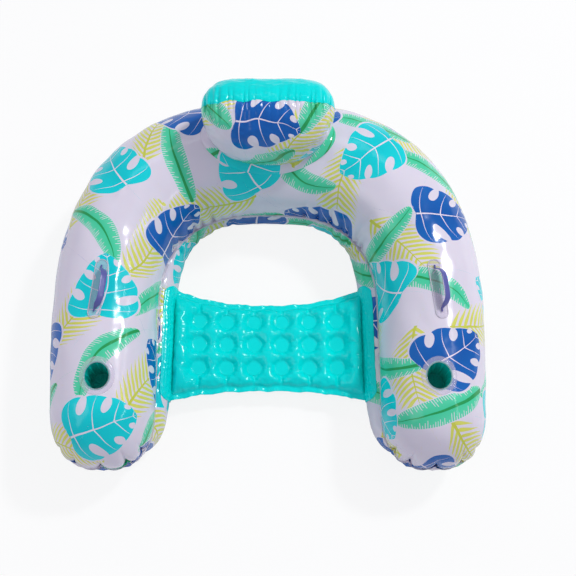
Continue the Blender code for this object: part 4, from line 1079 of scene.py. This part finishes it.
# %% Rings round the seat's dots
RING_BEAD = 0.0007
ring_tree = bpy.data.node_groups.new("dot_rings", "GeometryNodeTree")
given = socketed(ring_tree, {
    "Columns": ("Int", 6), "Rows": ("Int", 3), "Length": ("Float", 0.3), "Depth": ("Float", 0.1),
    "Seat Middle": ("Float", 0.0), "Height": ("Float", 0.0), "Sag": ("Float", 0.3),
    "Ring Radius": ("Float", 0.018), "Bead Radius": ("Float", 0.001), "Finish": ("Material", None),
}).outputs
grid = add(ring_tree, "GeometryNodeMeshGrid", {
    "Size X": given["Length"], "Size Y": given["Depth"],
    "Vertices X": given["Columns"], "Vertices Y": given["Rows"],
})
position = add(ring_tree, "GeometryNodeInputPosition").outputs[0]
here_x = add(ring_tree, "ShaderNodeSeparateXYZ", {0: position}).outputs[0]
squared = add(ring_tree, "ShaderNodeMath", {0: here_x, 1: here_x}, operation="MULTIPLY")
parabola = {0: squared.outputs[0], 1: given["Sag"], 2: given["Height"]}
risen = add(ring_tree, "ShaderNodeMath", parabola, operation="MULTIPLY_ADD").outputs[0]
lift = add(ring_tree, "ShaderNodeCombineXYZ", {1: given["Seat Middle"], 2: risen}).outputs[0]
placed = add(ring_tree, "GeometryNodeSetPosition", {"Geometry": grid.outputs[0], "Offset": lift})
slope = add(ring_tree, "ShaderNodeMath", {0: here_x, 1: given["Sag"]}, operation="MULTIPLY")
leaned = add(ring_tree, "ShaderNodeMath", {0: slope.outputs[0], 1: -2.0}, operation="MULTIPLY")
upward = add(ring_tree, "ShaderNodeCombineXYZ", {0: leaned.outputs[0], 2: 1.0}).outputs[0]
facing = add(ring_tree, "FunctionNodeAlignRotationToVector", {"Vector": upward}, axis="Z")
round_dot = {"Resolution": 40, "Radius": given["Ring Radius"]}
outline = add(ring_tree, "GeometryNodeCurvePrimitiveCircle", round_dot, mode="RADIUS").outputs[0]
round_bead = {"Resolution": 6, "Radius": given["Bead Radius"]}
section = add(ring_tree, "GeometryNodeCurvePrimitiveCircle", round_bead, mode="RADIUS").outputs[0]
ring = add(ring_tree, "GeometryNodeCurveToMesh", {"Curve": outline, "Profile Curve": section})
many = add(ring_tree, "GeometryNodeInstanceOnPoints", {
    "Points": placed.outputs[0], "Instance": ring.outputs[0], "Rotation": facing.outputs[0],
})
coat(ring_tree, many.outputs[0], given["Finish"])
rings = grown("seat_dot_rings", [(0, 0, 0)], [], ring_tree, {
    "Columns": SEAT_COLUMNS, "Rows": SEAT_ROWS, "Length": (SEAT_COLUMNS - 1) * COLUMN_PITCH,
    "Depth": (SEAT_ROWS - 1) * ROW_PITCH, "Seat Middle": SEAT_Y,
    "Height": SEAT_END_Z - SEAT_SAG + DOT_THICKNESS / 2, "Sag": SEAT_SAG / WALL_HALF_WIDTH**2,
    "Ring Radius": DOT_RADIUS - 2 * RING_BEAD, "Bead Radius": RING_BEAD, "Finish": turquoise_film,
})
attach(rings, "chair")
print("dot rings:", len(rings.data.polygons), "faces")

# %% [markdown]
# The pillow is one balloon of two pieces of film, printed in front and turquoise behind,
# welded along the top and round the ends. The weld is shorter than the film beside it, so the
# film gathers into upright creases on both sides. The foot sits flat on a smooth padded lip.

# %% Pillow
PILLOW_Y, PILLOW_Z, PILLOW_RADIUS, PILLOW_HALF_WIDTH = 0.312, 0.3436, 0.094, 0.155
PILLOW_END_BACK, PILLOW_END_LIFT = 0.018, 0.012
PILLOW_END_EXPONENT, PILLOW_END_ROUNDING, PILLOW_FOOT_EXPONENT = 3.0, 2.2, 3.6
PILLOW_SEAM = radians(104)
PILLOW_SEAM_BACK = 0.0204
PILLOW_FOOT = 0.0079
PILLOW_GRID = (190, 120)
PILLOW_INSIDE = 0.985
FILM_SHIFT, FILM_STRETCH = (0.42, 0.06), 0.95
FRONT_GATHERS, DART_SLANT = 1.5, 0.42
WELD_DIP, WELD_DIP_WIDTH, PILLOW_TUCK = 0.0022, 0.004, 0.0012
PILLOW_RIPPLE, PILLOW_FINE_RIPPLE, CALM_WIDTH = 0.0008, 0.0003, 0.01

swing = np.linspace(-pi / 2, pi / 2, PILLOW_GRID[0])
pillow_x = (PILLOW_HALF_WIDTH * np.sin(swing))[:, None]
end_share = np.abs(pillow_x) / PILLOW_HALF_WIDTH
girth = PILLOW_RADIUS * (1 - end_share**PILLOW_END_EXPONENT) ** (1 / PILLOW_END_ROUNDING)
middle_y = PILLOW_Y + PILLOW_END_BACK * end_share**2
middle_z = PILLOW_Z + PILLOW_END_LIFT * end_share**2
seam_back = PILLOW_SEAM_BACK * (1 - end_share**2) / np.maximum(girth, 0.001)
seam_wave = wave(pillow_x, 0, 52, 6, 0.045, 0.12)
seam_swing = PILLOW_SEAM - np.arcsin(np.clip(seam_back, 0, 1)) + radians(2.6) * seam_wave
pillow_tables = [
    # start, end, spacing, depth, width, length
    (-0.150, 0.150, 0.0165, 0.0034, 0.0024, 0.075),
    (-0.150, -0.105, 0.014, 0.0046, 0.0028, 0.055),
    (0.085, 0.145, 0.015, 0.0058, 0.0032, 0.060),
]
pillow_rows = gathers(61, pillow_tables)
dart_rows = np.array([(-0.143, 0.0085, 0.0026, 0.115)])
PILLOW_SIDES = [("front", 1, printed_film, "printed"), ("back", -1, turquoise_film, "turquoise")]
pillow_halves = {}
for name, way, material, slot in PILLOW_SIDES:
    share = np.linspace(0, 1, PILLOW_GRID[1])[None, :]
    far_swing = PILLOW_SEAM + way * pi
    ring = seam_swing + (far_swing - seam_swing) * share
    from_seam = np.abs(ring - seam_swing) * girth
    drawn = gathered(pillow_x + 0 * ring, from_seam, pillow_rows)
    if way > 0:
        darts = gathered(pillow_x - DART_SLANT * from_seam, from_seam, dart_rows)
        drawn = drawn * FRONT_GATHERS + darts
    drawn = drawn + WELD_DIP * np.exp(-from_seam / WELD_DIP_WIDTH)
    ripple = PILLOW_RIPPLE * wave(pillow_x, from_seam, 71, 9, 0.03, 0.08)
    ripple = ripple + PILLOW_FINE_RIPPLE * wave(pillow_x, from_seam, 73, 9, 0.012, 0.03)
    ends = np.clip(girth / 0.03, 0, 1)
    dip = (drawn + PILLOW_TUCK - ripple * np.clip(from_seam / CALM_WIDTH, 0, 1)) * ends
    body = np.maximum(girth - dip, 0)
    along, rise = np.cos(ring), np.sin(ring)
    foot = rise < 0
    power = 2 / PILLOW_FOOT_EXPONENT
    along = np.where(foot, np.sign(along) * np.abs(along) ** power, along)
    rise = np.where(foot, -(np.abs(rise) ** power), rise)
    y, z = middle_y + body * along, middle_z + body * rise
    x = pillow_x + 0 * y
    z = np.maximum(z, crown_height(x, y) + PILLOW_FOOT)
    outside = np.stack([x, y, z], 2)
    middle = np.stack([x * 0, middle_y + 0 * y, middle_z + 0 * y], 2)
    inside = middle + (outside - middle) * PILLOW_INSIDE
    film = np.stack([x + FILM_SHIFT[0], from_seam * FILM_STRETCH + FILM_SHIFT[1]], 2)
    half = slab("pillow_" + name, outside, inside, material, film)
    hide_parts("headrest_" + name)
    pillow_halves[name] = half
    if way > 0:
        seam_path = outside[:, 0]
weld_bead("pillow_weld", seam_path, False, 0.0010, turquoise_film)
print("pillow:", [len(half.data.polygons) for half in pillow_halves.values()], "faces")

# %% [markdown]
# The lip under the pillow is a flat pocket of air between the pillow and the horseshoe. It is
# tight and smooth, so it is drawn as an oval ring with a full round edge.

# %% Lip under the pillow
LIP_HALF_WIDTH, LIP_HALF_DEPTH, LIP_THICKNESS = 0.1625, 0.0905, 0.0072
LIP_INSIDE, LIP_ROUND, LIP_SWELL = 0.5, 0.86, 0.05
LIP_FILM_SHIFT = 0.9
turn = np.linspace(0, 2 * pi, 181)[:-1, None]
edge = LIP_ROUND + (1 - LIP_ROUND) * np.sin(np.linspace(0, pi / 2, 10)[1:])
share = np.concatenate([np.linspace(LIP_INSIDE, LIP_ROUND, 5), edge])[None, :]
x = LIP_HALF_WIDTH * share * np.cos(turn)
y = PILLOW_Y + LIP_HALF_DEPTH * share * np.sin(turn)
bottom_z = crown_height(x, y) + WELD_GAP
round_share = np.clip((share - LIP_ROUND) / (1 - LIP_ROUND), 0, 1)
swell = 1 + LIP_SWELL * wave(x, y, 81, 7, 0.03, 0.07)
top_z = bottom_z + LIP_THICKNESS * np.sqrt(1 - 0.995 * round_share**2) * swell
film = np.stack([x + LIP_FILM_SHIFT, y], 2)
lip = patch("pillow_lip", x, y, bottom_z, top_z, printed_film, film=film)
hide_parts("headrest_base")

# %% [markdown]
# Each cup holder is a bag of turquoise film welded into a hole in the arm's crown. The round
# mouth is gathered into the bag's wall, so pleats run down it. A ring of clear vinyl covers
# the weld.

# %% Cup holders
CUP_HALF = (0.0285, 0.0320)
CUP_DEPTH, CUP_TAPER, CUP_WALL = 0.088, 0.004, 0.0012
CUP_PLEATS, PLEAT_DEPTH, CUP_FLOOR_SAG = 11, 0.0052, 0.0016
HOLE_BELOW, HOLE_ABOVE = 0.002, 0.02
RING_WIDTH, RING_OVERLAP, RING_THICKNESS = 0.0095, 0.0035, 0.0020
cup_stretch = CUP_HALF[1] / CUP_HALF[0]
hole_half = CUP_HALF[0] + CUP_WALL + WELD_GAP
turn = np.linspace(0, 2 * pi, 133)[:-1, None]
cups, cup_rings = [], []
for side, name in ((-1, "left"), (1, "right")):
    cup_x = side * CUP_X
    down = np.concatenate([np.linspace(0, 1, 34), np.ones(10)])[None, :]
    inward = np.concatenate([np.ones(34), np.linspace(1, 0, 11)[1:]])[None, :]
    folds = 0.5 + 0.5 * np.cos(turn * CUP_PLEATS + 1.3 * np.sin(turn * 2 + side) + 0.5 * down)
    pleat = PLEAT_DEPTH * folds**4 * np.clip(down / 0.25, 0, 1)
    pleat = pleat * np.clip((1.04 - down) / 0.5, 0.25, 1)
    layers = []
    for wall in (0, CUP_WALL):
        radius = (CUP_HALF[0] - CUP_TAPER * down + wall - pleat) * inward
        x = cup_x + radius * np.cos(turn)
        y = CUP_Y + radius * cup_stretch * np.sin(turn)
        mouth = crown_height(x, y)
        sag = CUP_FLOOR_SAG * folds * (1 - inward) * inward * 4
        z = mouth * (1 - down) + (CROWN_Z - CUP_DEPTH - wall + sag) * down
        layers.append(np.stack([x, y, z], 2))
    # The bag's film is painted a deeper teal for the shade inside the well.
    cup = slab("cup_holder_" + name, layers[0], layers[1], well_shade_film, loop=True, edges=(0,))
    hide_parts("cup_well_" + name)
    cups.append(cup)
    share = np.linspace(0, 1, 12)[None, :]
    reach = hole_half - RING_OVERLAP + (RING_WIDTH + RING_OVERLAP) * share
    x = cup_x + reach * np.cos(turn)
    y = CUP_Y + reach * cup_stretch * np.sin(turn)
    bottom_z = crown_height(x, y) + WELD_GAP
    crest = np.sqrt(1 - 0.99 * (2 * share - 1) ** 6) * (1 + 0.12 * np.cos(share * 6 * pi))
    top_z = bottom_z + RING_THICKNESS * 0.8 * crest
    ring = patch("cup_ring_" + name, x, y, bottom_z, top_z, clear_vinyl)
    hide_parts("cup_rim_" + name)
    cup_rings.append(ring)
    hole = (hole_half, hole_half * cup_stretch)
    bore(upper, (cup_x, CUP_Y, CROWN_Z), (0, 0, 1), *hole, -CUP_DEPTH - HOLE_BELOW, HOLE_ABOVE)
print("cup holders:", [len(cup.data.polygons) for cup in cups], "faces")

# %% [markdown]
# Each handle is a soft clear strap, painted violet for the shade in the gap beneath it, arched
# over a clear pad that is welded to the arm. The straps were pressed flat in the box, so both
# still lean over to one side. Each one turns about the line through its two necks.

# %% Handles
PAD_HALF, PAD_THICKNESS, PAD_BEVEL = (0.0155, 0.072), 0.0015, 0.8
GROOVE_DEPTH, GROOVE_PLACE, GROOVE_WIDTH = 0.25, 0.72, 0.06
STRAP_SPAN, STRAP_RISE, STRAP_LEAN = 0.112, 0.027, radians(32)
STRAP_FLATNESS, STRAP_SQUARENESS = 5, 0.6
STRAP_WIDTH, STRAP_THICKNESS, STRAP_NECK, STRAP_NECK_LENGTH = 0.015, 0.0022, 0.0036, 0.008
STRAP_AXIS_Z = CROWN_Z + WELD_GAP + PAD_THICKNESS + WELD_GAP + STRAP_NECK / 2
handles = {}
for side, name in ((-1, "left"), (1, "right")):
    toe = side * HANDLE_TOE
    turn = np.linspace(0, 2 * pi, 97)[:-1, None]
    share = np.concatenate([np.linspace(0, PAD_BEVEL, 7), np.linspace(0.84, 1, 6)])[None, :]
    across = PAD_HALF[0] * np.cos(turn) * share
    middle_run = (PAD_HALF[1] - PAD_HALF[0]) * np.sign(np.sin(turn)) * (np.abs(np.sin(turn)) > 0.01)
    along = middle_run + PAD_HALF[0] * np.sin(turn) * share
    x = side * HANDLE_X + across * cos(toe) - along * sin(toe)
    y = HANDLE_Y + across * sin(toe) + along * cos(toe)
    bottom_z = crown_height(x, y) + WELD_GAP
    edge = np.sqrt(1 - 0.98 * np.clip((share - PAD_BEVEL) / (1 - PAD_BEVEL), 0, 1) ** 2)
    groove = 1 - GROOVE_DEPTH * np.exp(-(((share - GROOVE_PLACE) / GROOVE_WIDTH) ** 2))
    top_z = bottom_z + PAD_THICKNESS * edge * groove
    pad = patch("handle_patch_" + name, x, y, bottom_z, top_z, clear_vinyl, edges=(-1,))
    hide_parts("handle_pad_" + name)
    outline = np.stack([x, y, top_z], 2)[:, 9]
    weld_bead("handle_weld_" + name, outline, True, 0.0008, web_vinyl)

    half_arch = STRAP_SPAN / 2 - STRAP_NECK_LENGTH
    stations = np.concatenate([[-STRAP_SPAN / 2], np.linspace(-half_arch, half_arch, 61), [STRAP_SPAN / 2]])
    arch = np.clip(1 - np.abs(stations / half_arch) ** STRAP_FLATNESS, 0, 1)
    rise_way = np.array([sin(STRAP_LEAN), 0, cos(STRAP_LEAN)])
    width_way = np.array([cos(STRAP_LEAN), 0, -sin(STRAP_LEAN)])
    spine = np.outer(stations, [0, 1, 0]) + np.outer(STRAP_RISE * arch, rise_way)
    ahead = np.gradient(spine, axis=0)
    ahead /= np.linalg.norm(ahead, axis=1, keepdims=True)
    ahead[[0, -1]] = [0, 1, 0]
    swell = np.minimum(1, 2 * arch)[:, None]
    width = (STRAP_NECK + (STRAP_WIDTH - STRAP_NECK) * swell) / 2
    depth = (STRAP_NECK + (STRAP_THICKNESS - STRAP_NECK) * swell) / 2
    corner = np.linspace(0, 2 * pi, 25)[:-1]
    flat = np.sign(np.cos(corner)) * np.abs(np.cos(corner)) ** STRAP_SQUARENESS
    thin = np.sign(np.sin(corner)) * np.abs(np.sin(corner)) ** STRAP_SQUARENESS
    across_way = np.cross(width_way, ahead)
    section = spine[:, None] + width_way * (width * flat)[..., None]
    section = section + across_way[:, None] * (depth * thin)[..., None]
    turned_x = section[..., 0] * cos(toe) - section[..., 1] * sin(toe)
    turned_y = section[..., 0] * sin(toe) + section[..., 1] * cos(toe)
    grid = np.stack([turned_x + side * HANDLE_X, turned_y + HANDLE_Y, section[..., 2] + STRAP_AXIS_Z], 2)
    grid = grid.transpose(1, 0, 2)
    faces = grid_faces(grid.shape[0], grid.shape[1])
    last = grid.shape[1] - 1
    faces += [tuple(row * grid.shape[1] + end for row in range(grid.shape[0])) for end in (0, last)]
    # The strap is painted violet for the shade in the gap beneath it.
    strap = mesh_piece("handle_grip_" + name, grid.reshape(-1, 3), faces, strap_gap_shade_vinyl)
    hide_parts("handle_strap_" + name)
    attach(strap, name + "_strap")
    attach(pad, "chair")
    handles[name] = strap
print("handles:", [len(strap.data.polygons) for strap in handles.values()], "faces")

# %% [markdown]
# The sheet that parts the two chambers shows only as a thin flange in the valley between them.
# It was cut a little long, so its free edge waves.

# %% Flange between the chambers
FLANGE_WIDTH, FLANGE_HIDDEN, FLANGE_WAVE, WEB_THICKNESS = 0.004, 0.02, 0.0022, 0.001
WEB_Z = LOWER_HEIGHT + WELD_GAP
facing_out = np.zeros(len(ray_place))
facing_out[:count] = 1
for first, out in ((right_fan_first, outs[-1]), (left_fan_first, outs[0])):
    fan = slice(first, first + TIP_RAYS - 1)
    facing_out[fan] = np.clip(ray_way[fan] @ out, 0, 1)
pleats = gathered(ray_place, np.zeros(len(ray_place)), tip_rows, **TIP_PLEAT)
flange = FLANGE_WIDTH * (1 - facing_out) - pleats
share = np.concatenate([[-FLANGE_HIDDEN, -0.0005], np.linspace(0, 1, 5)])[None, :]
beyond = np.where(share > 0, share * flange[:, None], share + np.minimum(flange, 0)[:, None])
distance = ray_half[:, None] + beyond
plan = ray_mid[:, None] + ray_way[:, None] * distance[..., None]
free = np.clip(share, 0, 1) * (1 - facing_out)[:, None]
wobble = FLANGE_WAVE * free * wave(ray_place[:, None], 0, 91, 10, 0.012, 0.05)
low_z, high_z = WEB_Z + wobble, WEB_Z + WEB_THICKNESS + wobble
web = patch("chamber_flange", plan[..., 0], plan[..., 1], low_z, high_z, web_vinyl)
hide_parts("chamber_web")

# %% [markdown]
# Every valve stem slides into its chamber when it is pushed flush, so the skins have a round
# hole under each one.

# %% Holes for the valves
VALVE_HOLE, VALVE_HOLE_DEPTH, VALVE_HOLE_ABOVE = 0.0095, 0.0324, 0.012
for valve, skin in zip(VALVES, (upper, lower, pillow_halves["back"], seat)):
    middle, way = valve_middle[valve], valve_out[valve]
    bore(skin, middle, way, VALVE_HOLE, VALVE_HOLE, -VALVE_HOLE_DEPTH, VALVE_HOLE_ABOVE, 40)
print("valve holes:", len(VALVES))

# %% [markdown]
# All but the handle straps and the valves' moving parts ride on the chair's own body. The
# valves keep their solid nodes, and each node takes the film or the moulded vinyl that its slot
# names.

# %% Ride and finish
for item in (upper, lower, *pillow_halves.values(), *cups, lip, web, *cup_rings):
    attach(item, "chair")

finishes = {
    "printed": printed_film, "turquoise": turquoise_film, "clear": clear_vinyl,
    "web": web_vinyl, "plug": moulded_vinyl,
}
slots = {entry["node"]: entry["material_slot"] for entry in frame["record"]["subparts"]}
for name, item in nodes.items():
    item.data.materials.clear()
    item.data.materials.append(finishes[slots[name]])
print("finishes:", sorted(finishes))

# %% [markdown]

# %% The last line
bpy.context.view_layer.update()
